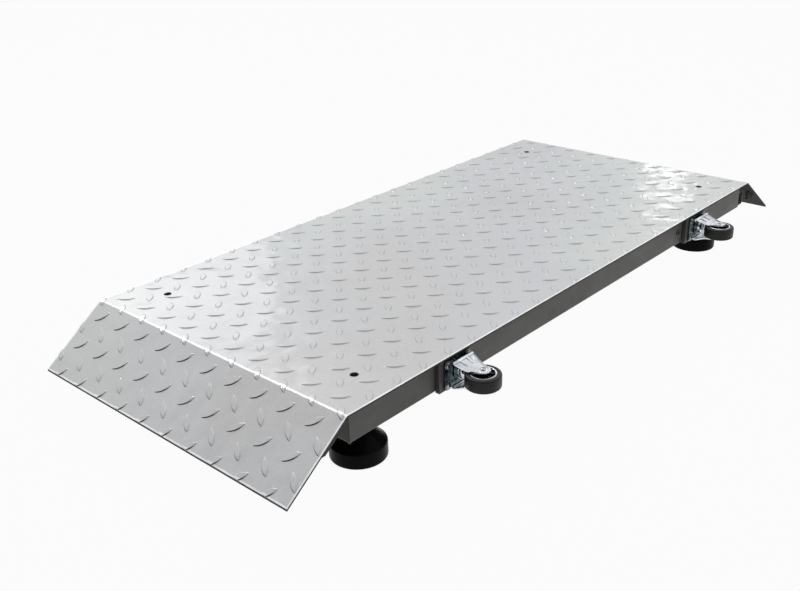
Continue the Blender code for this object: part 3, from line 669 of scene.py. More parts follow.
class Wardrobe:
    """Makes each finish once and dresses the pieces in it."""

    def __init__(self) -> None:
        """Start with nothing made."""
        self.made: dict[str, bpy.types.Material] = {}

    def dress(self, item: Item, finish: Finish) -> None:
        """Give an object one material all over, made on first use."""
        if finish.name not in self.made:
            self.made[finish.name] = finish.material()
        item.data.materials.clear()
        item.data.materials.append(self.made[finish.name])

    def piece(self, item: Item, name: str, finish: Finish, replaces: Sequence[str] = (),
              body: str = "scale", angle: float = 35.0) -> None:
        """Name, shade and dress a new piece, and let it ride on its body.

        Args:
            item: The finished mesh object, in place.
            name: The piece's name.
            finish: Its finish.
            replaces: CAD nodes that it stands for.
            body: The CAD body that carries it.
            angle: Edges sharper than this stay sharp, in degrees.
        """
        bake(item)
        bpy.ops.object.shade_smooth_by_angle(angle=math.radians(angle))
        modify(item, "WEIGHTED_NORMAL", keep_sharp=True, weight=100)
        item.name = name
        item.data.name = name
        self.dress(item, finish)
        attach(item, body)
        if replaces:
            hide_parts(*replaces)
        LOG.info("piece %s on %s: %d faces", name, body, len(item.data.polygons))

    def stand_in(self, item: Item, node: str, suffix: str, finish: Finish, body: str = "scale",
                 angle: float = 35.0) -> None:
        """Add a piece that replaces one CAD node and is named after it, with a suffix."""
        self.piece(item, f"{node}_{suffix}", finish, [node], body, angle)


@dataclass
class TreadDeck:
    """The bent tread plate with its lentils, ramp ribs and access holes.

    Attributes:
        wardrobe: Where its finish comes from.
        bend_x: Distance of each bend line from the middle.
        angle: Slope of the ramps, in radians.
        ramp: Length of a ramp down its slope.
        thickness: The whole plate, lentils included.
        bend_radius: Inside radius of the bends.
        bend_steps: Facets round a bend.
        edge: Rounding of the plate's edges.
        lentil_length: Tip to tip.
        lentil_width: Across the middle.
        lentil_height: How far they stand up.
        lentil_cuts: Where a half lentil is cut across, as shares of its length.
        crest_edge: Rounding of a lentil's crest.
        tip_drop: Share of its height that a lentil loses at its tips.
        tip_curve: Power with which it falls to its tips.
        trim: How far the lentils stop short of the plate's edges.
        pitch_x: Lattice pitch along the plate.
        pitch_y: Lattice pitch across it.
        first_x: First falling lentil from the near bend line.
        first_y: Topmost row of falling lentils from the centre line.
        hole_radius: The access holes.
        hole_margin: What the lentils leave free round a hole.
        rib_depth: Height of a rib on edge.
        rib_width: Thickness of a rib.
        rib_blank: Length of a rib before it is cut.
        rib_length: From the bend to the level cut, down the slope.
        rail_gap: From the side rail to a near rib.
        tube_gap: From the far end tube to a far rib.
    """

    wardrobe: Wardrobe
    bend_x: float = 0.580
    angle: float = math.radians(36.0)
    ramp: float = 0.1360
    thickness: float = 0.0045
    bend_radius: float = 0.004
    bend_steps: int = 8
    edge: float = 0.0010
    lentil_length: float = 0.0325
    lentil_width: float = 0.0106
    lentil_height: float = 0.0015
    lentil_cuts: tuple[float, ...] = (0.35, 0.55, 0.7, 0.82, 0.92)
    crest_edge: float = 0.0009
    tip_drop: float = 0.90
    tip_curve: float = 2.8
    trim: float = 0.0006
    pitch_x: float = 0.0531
    pitch_y: float = 0.0543
    first_x: float = 0.0285
    first_y: float = 0.2492
    hole_radius: float = 0.0062
    hole_margin: float = 0.0008
    rib_depth: float = 0.019
    rib_width: float = 0.005
    rib_blank: float = 0.125
    rib_length: float = 0.078
    rail_gap: float = 0.0004
    tube_gap: float = 0.0145

    def __post_init__(self) -> None:
        """Read the plate's place from its CAD node."""
        low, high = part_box("deck_plate")
        self.top = high.z
        self.centre_y = (low.y + high.y) / 2
        self.half_width = (high.y - low.y) / 2
        self.outer = self.bend_radius + self.thickness
        self.base_radius = self.outer - self.lentil_height
        self.flat = self.bend_x - self.outer * math.tan(self.angle / 2)
        self.arc = self.base_radius * self.angle
        self.half_sheet = (self.flat + self.arc + self.ramp
                           - self.outer * math.tan(self.angle / 2))

    def fold(self, item: Item) -> None:
        """Bend a flat sheet down over both bend lines, as a press brake does.

        Args:
            item: A mesh laid out flat, X along the sheet and Z above the plate's base face.
        """
        for vert in item.data.vertices:
            run, rise = vert.co.x, vert.co.z
            side = 1.0 if run >= 0.0 else -1.0
            past = abs(run) - self.flat
            turned = min(max(past, 0.0) / self.base_radius, self.angle)
            reach = self.base_radius + rise
            slope = max(past - self.arc, 0.0)
            x = min(abs(run), self.flat) + reach * math.sin(turned) + slope * math.cos(turned)
            drop = self.outer - reach * math.cos(turned) + slope * math.sin(turned)
            vert.co = (side * x, vert.co.y + self.centre_y, self.top - drop)
        item.data.update()

    def drill(self, item: Item, radius: float) -> Item:
        """Cut the four access holes."""
        for corner in CORNERS:
            low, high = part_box(f"foot_stud_{corner}")
            hole = add_disc(radius, self.top - 2 * self.thickness, self.top + self.thickness)
            place(hole, ((low.x + high.x) / 2, (low.y + high.y) / 2, 0.0))
            combine(item, hole, "DIFFERENCE")
        return item

    def sheet(self) -> Item:
        """The plate itself, cut at its bends, folded, its tips cut upright, drilled and edged."""
        depth = self.thickness - self.lentil_height
        item = add_box((-self.half_sheet, -self.half_width, -depth),
                       (self.half_sheet, self.half_width, 0.0))
        with editing(item):
            for side in SIDES:
                for step in range(self.bend_steps + 1):
                    cut((side * (self.flat + self.arc * step / self.bend_steps), 0.0, 0.0), ALONG)
        self.fold(item)
        farthest = max(abs(vert.co.x) for vert in item.data.vertices)
        tips = [vert for vert in item.data.vertices if abs(vert.co.x) > farthest - 0.8 * depth]
        lowest = min(vert.co.z for vert in tips)
        out = depth * math.sin(self.angle)
        for vert in tips:
            if vert.co.z < lowest + 1e-5:
                vert.co = (vert.co.x + math.copysign(out, vert.co.x), vert.co.y,
                           vert.co.z - out * math.tan(self.angle))
        return soften(self.drill(item, self.hole_radius), self.edge, 3)

    def lentil(self) -> Item:
        """One raised lentil: two flat cones' pointed overlap, falling to its tips."""
        half_long, half_wide = self.lentil_length / 2, self.lentil_width / 2
        radius = (half_long ** 2 + half_wide ** 2) / (2 * half_wide)
        sunk = 0.00015
        cones = [bake(new(bpy.ops.mesh.primitive_cone_add, vertices=36,
                          radius1=radius + 0.1 * sunk, radius2=radius - 0.8 * self.lentil_height,
                          depth=self.lentil_height + sunk,
                          location=(0.0, side * (radius - half_wide),
                                    (self.lentil_height - sunk) / 2)))
                 for side in SIDES]
        item = combine(*cones, "INTERSECT")
        with editing(item):
            for share in (*(-share for share in reversed(self.lentil_cuts)), *self.lentil_cuts):
                cut((share * half_long, 0.0, 0.0), ALONG)
        crest = self.lentil_height - 1e-6
        with editing(item):
            pick(item, Part.EDGE, lambda edge: all(vert.co.z > crest for vert in edge.verts)
                 and any(face.normal.z < 0.99 for face in edge.link_faces))
            bpy.ops.mesh.bevel(offset=self.crest_edge, segments=2, clamp_overlap=True)
        for vert in item.data.vertices:
            if vert.co.z > 0.0:
                share = min(abs(vert.co.x) / half_long, 1.0)
                vert.co.z *= 1.0 - self.tip_drop * share ** self.tip_curve
        return item

    def spots(self, lean: Lean) -> list[Pair]:
        """Where the lentils of one lean lie on the flat sheet."""
        offset = 0.5 if lean is Lean.RISING else 0.0
        start = -self.bend_x + self.first_x - offset * self.pitch_x
        shift = 2 * self.outer * math.tan(self.angle / 2) - self.arc
        found = []
        for column in range(-4, 34):
            run = start + column * self.pitch_x
            if run < -self.flat:
                run += shift
            if run > self.flat:
                run -= shift
            if abs(run) > self.half_sheet + self.lentil_length / 3:
                continue
            for row in range(-1, 12):
                across = self.first_y - (row - offset) * self.pitch_y
                if abs(across) < self.half_width + self.lentil_length / 3:
                    found.append((run, across))
        return found

    def lentils(self) -> Item:
        """Every lentil, trimmed at the plate's edges and folded with the plate."""
        item = self.lentil()
        pattern = bmesh.new()
        places = [(lean, *spot) for lean in Lean for spot in self.spots(lean)]
        for lean, run, across in places:
            before = len(pattern.verts)
            pattern.from_mesh(item.data)
            pattern.verts.ensure_lookup_table()
            swing = Matrix.Rotation(math.radians(lean.value), 4, "Z")
            bmesh.ops.transform(pattern, matrix=Matrix.Translation((run, across, 0.0)) @ swing,
                                verts=pattern.verts[before:])
        pattern.to_mesh(item.data)
        pattern.free()
        with editing(item):
            for edge, way in ((self.half_sheet, Vector(ALONG)),
                              (self.half_width, Vector((0.0, 1.0, 0.0)))):
                for side in (1.0, -1.0):
                    cut(side * (edge - self.trim) * way, side * way, use_fill=True,
                        clear_outer=True)
        self.fold(item)
        LOG.info("lentils: %d", len(places))
        return self.drill(item, self.hole_radius + self.hole_margin)

    def rib(self, side: float, end: float) -> Item:
        """A flat bar on edge under a ramp, cut level at its lower end."""
        rail_low, rail_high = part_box("side_rail_right" if side < 0 else "side_rail_left")
        outer = rail_low.y if side < 0 else rail_high.y
        inner = outer - side * self.rib_width
        base = self.thickness * 0.7
        item = add_box((0.0, min(outer, inner), -base - self.rib_depth),
                       (self.rib_blank, max(outer, inner), -base))
        slope = Matrix.Rotation(self.angle, 4, "Y")
        item.matrix_world = Matrix.Translation((self.bend_x, 0.0, self.top)) @ slope
        bake(item)
        level = (self.top - self.rib_length * math.sin(self.angle)
                 - self.thickness * math.cos(self.angle))
        clear = (rail_high.x + self.rail_gap if end < 0
                 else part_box("far_end_tube")[1].x + self.tube_gap)
        with editing(item):
            cut((0.0, 0.0, level), UP, use_fill=True, clear_inner=True)
            cut((clear, 0.0, 0.0), ALONG, use_fill=True, clear_inner=True)
            if end < 0:
                bpy.ops.mesh.select_all(action="SELECT")
                bpy.ops.transform.resize(value=(-1.0, 1.0, 1.0), center_override=(0.0, 0.0, 0.0))
                face_outwards()
        return soften(item, 0.0005)

    def build(self) -> None:
        """Make the plate, its lentils and the four ribs."""
        self.wardrobe.piece(self.sheet(), "tread_plate", TREAD, ["deck_plate"], angle=25.0)
        self.wardrobe.piece(self.lentils(), "tread_lentils", TREAD, angle=50.0)
        for name, end in (("near", -1.0), ("far", 1.0)):
            for side_name, side in (("right", -1.0), ("left", 1.0)):
                # Painted shade: the ribs take the darkened primer.
                self.wardrobe.piece(self.rib(side, end), f"ramp_rib_{name}_{side_name}", SHADED_PRIMER)


@dataclass
class TubeFrame:
    """The welded tubes with their weld beads, and the cable outlet.

    Attributes:
        wardrobe: Where the finishes come from.
        edge: Rounding of the tubes' edges.
        bead: Radius of a weld bead.
        ripple: Length of one ripple in a bead.
        short: How far a bead stops before the end of its seam.
    """

    wardrobe: Wardrobe
    edge: float = 0.0014
    bead: float = 0.0024
    ripple: float = 0.0016
    short: float = 0.004

    def weld(self, start: Point, stop: Point) -> Item:
        """A rippled bead between two points, half sunk in the seam."""
        run = Vector(stop) - Vector(start)
        count = max(round(run.length / self.ripple), 2)
        step = run.length / count
        item = turn([(0.84 * self.bead, 0.0), (self.bead, 0.5 * step),
                     (0.9 * self.bead, 0.95 * step)], 8)
        modify(item, "ARRAY", count=count, use_relative_offset=False, use_constant_offset=True,
               constant_offset_displace=(0.0, 0.0, step))
        way = run.to_track_quat("Z", "Y").to_matrix().to_4x4()
        item.matrix_world = Matrix.Translation(start) @ way
        return bake(item)

    def seams(self) -> list[tuple[Point, Point]]:
        """The seams under the deck: cross tubes, mitred corners, end tube and cell plates."""
        found = []
        short = self.short
        right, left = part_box("side_rail_right"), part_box("side_rail_left")
        for name in ("near_cell_tube", "centre_tube", "far_cell_tube"):
            low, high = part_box(name)
            for y in (right[1].y, left[0].y):
                for x in (low.x, high.x):
                    found.append(((x, y, low.z + short), (x, y, high.z - short)))
                found.append(((low.x + short, y, low.z), (high.x - short, y, low.z)))
        low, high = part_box("near_end_tube")
        across = high.x - low.x
        for y, side in ((low.y, 1.0), (high.y, -1.0)):
            corner = y + side * across
            found.append(((low.x + 0.003, y + side * 0.003, low.z),
                          (high.x - 0.002, y + side * (across - 0.002), low.z)))
            found.append(((high.x, corner, low.z + short), (high.x, corner, high.z - short)))
        low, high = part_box("far_end_tube")
        for start, stop in ((right[0].y + 0.007, right[1].y - short),
                            (left[0].y + short, left[1].y - 0.007)):
            found.append(((low.x, start, low.z), (low.x, stop, low.z)))
        for corner in CORNERS:
            low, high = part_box(f"cell_plate_{corner}")
            x = high.x if "near" in corner else low.x
            z = high.z - 0.010
            found.append(((x, low.y + 0.006, z), (x, high.y - 0.006, z)))
        return found

    def grommet(self) -> Item:
        """The cable outlet's ring: a round lip outside and a sleeve through the rail's wall."""
        low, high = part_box("cable_grommet")
        spot, deep = middle("cable_grommet"), high.y - low.y
        profile = [(0.0026, 0.0006), (0.0030, 0.0), (0.0056, 0.0), (0.0062, 0.0005),
                   (0.0060, 0.0010), (0.0045, 0.0013), (0.0045, deep), (0.0028, deep),
                   (0.0026, deep - 0.0004)]
        return place(turn(profile, 40, closed=True), (spot.x, low.y, spot.z), "+Y")

    def build(self) -> None:
        """Dress the tubes, run the weld beads and set the grommet."""
        for name in TUBES:
            self.wardrobe.stand_in(soften(rework(name), self.edge, 3), name, "painted", FRAME)
        beads = join_all([self.weld(*seam) for seam in self.seams()])
        self.wardrobe.piece(beads, "frame_weld_beads", FRAME, angle=60.0)
        self.wardrobe.piece(self.grommet(), "cable_outlet_grommet", GROMMET_RUBBER,
                            ["cable_grommet"])


@dataclass
class CellStation:
    """One load cell with its mounting plate, two bolts and the nut on the stud.

    Attributes:
        wardrobe: Where the finishes come from.
        corner: Which corner of the frame it is.
        edge: Rounding of the cell's edges.
        bore: Radius of its bores.
        countersink: Depth of their countersinks, and what these add to the radius.
        pocket: Radius of the gauge pockets in its sides.
        pocket_depth: How deep they are.
        pocket_run: From the stud to the pockets.
        head_radius: Half a bolt head's width across its corners.
        head_height: A bolt head with its washer face.
        washer_face: Height of the washer face.
        nut_radius: Half the lock nut's width across its corners.
        chamfer: Height of the turned corners of heads and nuts.
    """

    wardrobe: Wardrobe
    corner: str
    edge: float = 0.0009
    bore: float = 0.0064
    countersink: float = 0.0006
    pocket: float = 0.0105
    pocket_depth: float = 0.006
    pocket_run: float = 0.043
    head_radius: float = 0.0104
    head_height: float = 0.0066
    washer_face: float = 0.0005
    nut_radius: float = 0.0108
    chamfer: float = 0.0011

    def __post_init__(self) -> None:
        """Read the places of the stud and the bolts from the CAD."""
        self.stud = middle(f"foot_stud_{self.corner}")
        self.low, self.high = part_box(f"load_cell_{self.corner}")
        self.bolts = [f"cell_bolt_{self.corner}_{number}" for number in (1, 2)]

    def cell(self) -> Item:
        """The beam: edges rounded, three bores, and a closed gauge pocket in each side."""
        item = soften(add_box(self.low, self.high), self.edge, 2)
        radius, sink, tall = self.bore, self.countersink, self.high.z - self.low.z
        mouth = [(radius + sink + 0.0002, -0.0004), (radius + sink, 0.0), (radius, sink)]
        for spot in (self.stud, *map(middle, self.bolts)):
            drill = turn([*mouth, *((ring, tall - level) for ring, level in reversed(mouth))], 40)
            combine(item, place(drill, (spot.x, spot.y, self.low.z)), "DIFFERENCE")
        inward = 1.0 if "near" in self.corner else -1.0
        run, level = self.stud.x + inward * self.pocket_run, (self.low.z + self.high.z) / 2
        for face, axis in ((self.low.y, "+Y"), (self.high.y, "-Y")):
            cup = turn([(self.pocket + 0.0006, -0.0004), (self.pocket, 0.0004),
                        (self.pocket, self.pocket_depth - 0.001),
                        (self.pocket - 0.001, self.pocket_depth)], 48)
            combine(item, place(cup, (run, face, level), axis), "DIFFERENCE")
        return item

    def bolt(self, name: str) -> Item:
        """A hexagon bolt from below, with a washer face under its head."""
        spot = middle(name)
        low, high = (corner.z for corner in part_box(name))
        head = chamfered_hexagon(self.head_radius, self.head_height - self.washer_face,
                                 self.chamfer)
        collar = place(turn([(0.0086, -0.0003), (0.0086, 0.0004), (0.0080, 0.0007)], 40),
                       (0.0, 0.0, 0.0), "-Z")
        tip = self.head_height - 0.002 - high + low
        shank = turn([(0.0059, tip + 0.0006), (0.0060, tip + 0.0012), (0.0060, 0.002)], 32)
        return place(join_all([head, collar, shank]),
                     (spot.x, spot.y, low + self.head_height - self.washer_face), "-Z")

    def nut(self) -> Item:
        """The lock nut on the stud."""
        low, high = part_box(f"lock_nut_{self.corner}")
        item = chamfered_hexagon(self.nut_radius, high.z - low.z, self.chamfer, both=True)
        combine(item, add_disc(0.0062, -PAST, 2 * PAST, 40), "DIFFERENCE")
        return place(item, (self.stud.x, self.stud.y, low.z), "+Z", 30.0)

    def build(self) -> None:
        """Dress the plate and make the cell, its bolts and the lock nut."""
        plate = f"cell_plate_{self.corner}"
        self.wardrobe.stand_in(soften(rework(plate), 0.0006, 2), plate, "bar", PLAIN_STEEL)
        self.wardrobe.stand_in(self.cell(), f"load_cell_{self.corner}", "beam", CELL_NICKEL)
        for bolt in self.bolts:
            self.wardrobe.stand_in(self.bolt(bolt), bolt, "hex", PLAIN_STEEL)
        self.wardrobe.stand_in(self.nut(), f"lock_nut_{self.corner}", "hex", STUD_ZINC)


@dataclass
class LevellingFoot:
    """One rubber foot and its threaded stud.

    Attributes:
        wardrobe: Where the finishes come from.
        corner: Which corner of the frame it is under.
        pitch: Pitch of the stud's thread.
        stud_radius: Outside radius of the thread.
        root_radius: Radius at the bottom of the thread.
        steps: Points in one turn of the thread.
        collar: Lower and upper height of the stud's hexagon collar.
        collar_radius: Half the collar's width across its corners.
        socket_radius: Half the width of the hexagon socket in the stud's top.
        grooves: Inner radii of the rings in the sole.
    """

    wardrobe: Wardrobe
    corner: str
    pitch: float = 0.00175
    stud_radius: float = 0.0060
    root_radius: float = 0.0051
    steps: int = 20
    collar: Pair = (0.0453, 0.0533)
    collar_radius: float = 0.0105
    socket_radius: float = 0.0032
    grooves: tuple[float, ...] = (0.013, 0.021, 0.029, 0.036)

    def pad(self, name: str) -> Item:
        """The rubber foot: ringed sole, upright rim, cone and a lip round the stud's socket."""
        low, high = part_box(name)
        wide, tall = (high.x - low.x) / 2, high.z
        sole = [(0.004, 0.0)]
        for ring in self.grooves:
            sole += [(ring, 0.0), (ring + 0.0004, 0.0010), (ring + 0.0018, 0.0010),
                     (ring + 0.0022, 0.0)]
        rim = [(wide - 0.0024, 0.0), (wide - 0.0008, 0.0006), (wide - 0.0001, 0.0020),
               (wide, 0.0032), (wide - 0.0002, 0.0216), (wide - 0.0008, 0.0232),
               (wide - 0.0020, 0.0243), (wide - 0.0034, 0.0250)]
        cone = [(0.0290, 0.0340), (0.0206, 0.0426), (0.0196, 0.0438), (0.0180, tall),
                (0.0120, tall), (0.0114, tall - 0.0006), (0.0074, tall - 0.0006),
                (0.0065, tall - 0.0014), (0.0065, tall - 0.018), (0.003, tall - 0.018)]
        spot = middle(name)
        return place(turn(sole + rim + cone, 72), (spot.x, spot.y, 0.0))

    def ridge(self, low: float, high: float) -> Item:
        """The thread itself: its section wound up the stud and closed at both ends."""
        item = bake(new(bpy.ops.mesh.primitive_circle_add, vertices=4, radius=0.001))
        inside = self.root_radius - 0.0003
        section = ((inside, 0.02), (self.stud_radius, 0.40), (self.stud_radius, 0.55),
                   (inside, 0.93))
        for vert, (radius, share) in zip(item.data.vertices, section):
            vert.co = (radius, 0.0, low + share * self.pitch)
        turns = int((high - low) / self.pitch) - 1
        modify(item, "SCREW", steps=self.steps, render_steps=self.steps, iterations=turns,
               screw_offset=self.pitch, use_merge_vertices=False)
        with editing(item):
            bpy.ops.mesh.select_all(action="SELECT")
            bpy.ops.mesh.fill_holes(sides=4)
            face_outwards()
        return item

    def stud(self, name: str) -> Item:
        """The stud: a core, a collar on the foot, a socket in its top and the thread."""
        low, high = (corner.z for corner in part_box(name))
        bottom, top = self.collar
        core = turn([(self.root_radius - 0.0008, low), (self.root_radius, low + 0.0008),
                     (self.root_radius, high - 0.0010), (self.root_radius - 0.0008, high)], 32)
        collar = chamfered_hexagon(self.collar_radius, top - bottom, 0.0010, both=True)
        combine(core, place(collar, (0.0, 0.0, bottom)), "UNION")
        combine(core, add_disc(self.socket_radius, high - 0.006, high + 0.002, 6), "DIFFERENCE")
        item = join_all([core, self.ridge(top + 0.0004, high - 0.0004)])
        spot = middle(name)
        return place(item, (spot.x, spot.y, 0.0))

    def build(self) -> None:
        """Make the foot and the stud, each on its own body."""
        pad, stud = f"foot_pad_{self.corner}", f"foot_stud_{self.corner}"
        self.wardrobe.stand_in(self.pad(pad), pad, "rubber", FOOT_RUBBER, f"pad_{self.corner}",
                               32.0)
        self.wardrobe.stand_in(self.stud(stud), stud, "threaded", STUD_ZINC,
                               f"stud_{self.corner}", 50.0)


@dataclass
class CasterMount:
    """The spacer block, the pressed mounting plate with its race, and four bolts.

    Its pieces are made with the wall at height 0 and the way out as up.

    Attributes:
        wardrobe: Where the finishes come from.
        end: Near or far.
        thickness: The plate.
        corner: Corner radius of the plate.
        trim: How far the plate and its bolts stay back on the side away from the wheel.
        spread: How far the bolts sit outside their CAD places, up and down.
        hole: Radius of the bolts' holes.
        bolt_turn: How much further each bolt is screwed, in degrees.
        race_top: Height of the race above the wall side of the plate.
        head_low: Height of the kingpin head's underside.
        head_top: Height of the kingpin head's top.
    """

    wardrobe: Wardrobe
    end: str
    thickness: float = 0.0025
    corner: float = 0.0050
    trim: float = 0.0150
    spread: float = 0.0012
    hole: float = 0.0034
    bolt_turn: float = 17.0
    race_top: float = 0.0059
    head_low: float = 0.0090
    head_top: float = 0.0110

    def __post_init__(self) -> None:
        """Read the plate's place from the CAD."""
        name = f"caster_plate_{self.end}"
        self.low, self.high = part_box(name)
        spot = middle(name)
        self.spot = (spot.x, self.high.y, spot.z)
        self.bolts = [f"caster_bolt_{self.end}_{number}" for number in range(1, 5)]

    def holes(self) -> list[Pair]:
        """The four bolts' places on the plate."""
        found = []
        for name in self.bolts:
            bolt = middle(name)
            x, y = bolt.x - self.spot[0], bolt.z - self.spot[2]
            found.append((x - (self.trim if x > 0.0 else 0.0), y + math.copysign(self.spread, y)))
        return found

    def plate(self) -> Item:
        """The plate with round corners, a pressed ring, the race and the kingpin."""
        half_x, half_y = (self.high.x - self.low.x) / 2, (self.high.z - self.low.z) / 2
        top, race_top, head = self.thickness, self.race_top, self.head_low
        item = add_box((-half_x, -half_y, 0.0), (half_x - self.trim, half_y, top))
        round_corners(item, self.corner, 5)
        for x, y in self.holes():
            combine(item, place(add_disc(self.hole, -PAST, PAST, 24), (x, y, 0.0)), "DIFFERENCE")
        soften(item, 0.0004, 2)
        race = turn([(0.0172, top - 0.0003), (0.0170, top + 0.0003), (0.0166, top + 0.0008),
                     (0.0162, top + 0.0009), (0.0158, top + 0.0016), (0.0156, race_top - 0.0012),
                     (0.0148, race_top - 0.0003), (0.0140, race_top)], 64)
        pin = turn([(0.0045, race_top - 0.0005), (0.0045, head), (0.0080, head),
                    (0.0081, head + 0.0005), (0.0076, head + 0.0011), (0.0060, head + 0.0017),
                    (0.0036, self.head_top), (0.0028, self.head_top),
                    (0.0022, self.head_top - 0.0006), (0.0010, self.head_top - 0.0009)], 48)
        return place(join_all([item, race, pin]), self.spot, "-Y")

    def bolt(self) -> Item:
        """A round head with a hexagon socket, on a washer."""
        washer = turn([(0.0061, -0.0001), (0.0064, 0.0002), (0.0064, 0.0006), (0.0060, 0.0010)],
                      48)
        head = turn([(0.0047, 0.0008), (0.0049, 0.0012), (0.0048, 0.0021), (0.0043, 0.0028),
                     (0.0035, 0.0032), (0.0028, 0.0033)], 48)
        combine(head, add_disc(0.0025, 0.0012, 0.006, 6), "DIFFERENCE")
        shank = turn([(0.0028, -0.0085), (0.0030, -0.0082), (0.0030, 0.0004)], 24)
        return join_all([washer, head, shank])

    def build(self) -> None:
        """Make the block, the plate and the bolts."""
        block = f"caster_block_{self.end}"
        self.wardrobe.stand_in(soften(add_box(*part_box(block)), 0.0009, 3), block, "bar", BLOCK)
        # Painted shade: the plate takes the darkened zinc.
        self.wardrobe.stand_in(self.plate(), f"caster_plate_{self.end}", "pressed", SHADED_PLATE_ZINC)
        for number, (name, (x, y)) in enumerate(zip(self.bolts, self.holes()), start=1):
            seat = (self.spot[0] + x, self.spot[1] - self.thickness, self.spot[2] + y)
            bolt = place(self.bolt(), seat, "-Y", self.bolt_turn * number)
            self.wardrobe.stand_in(bolt, name, "hex", DARK_ZINC)


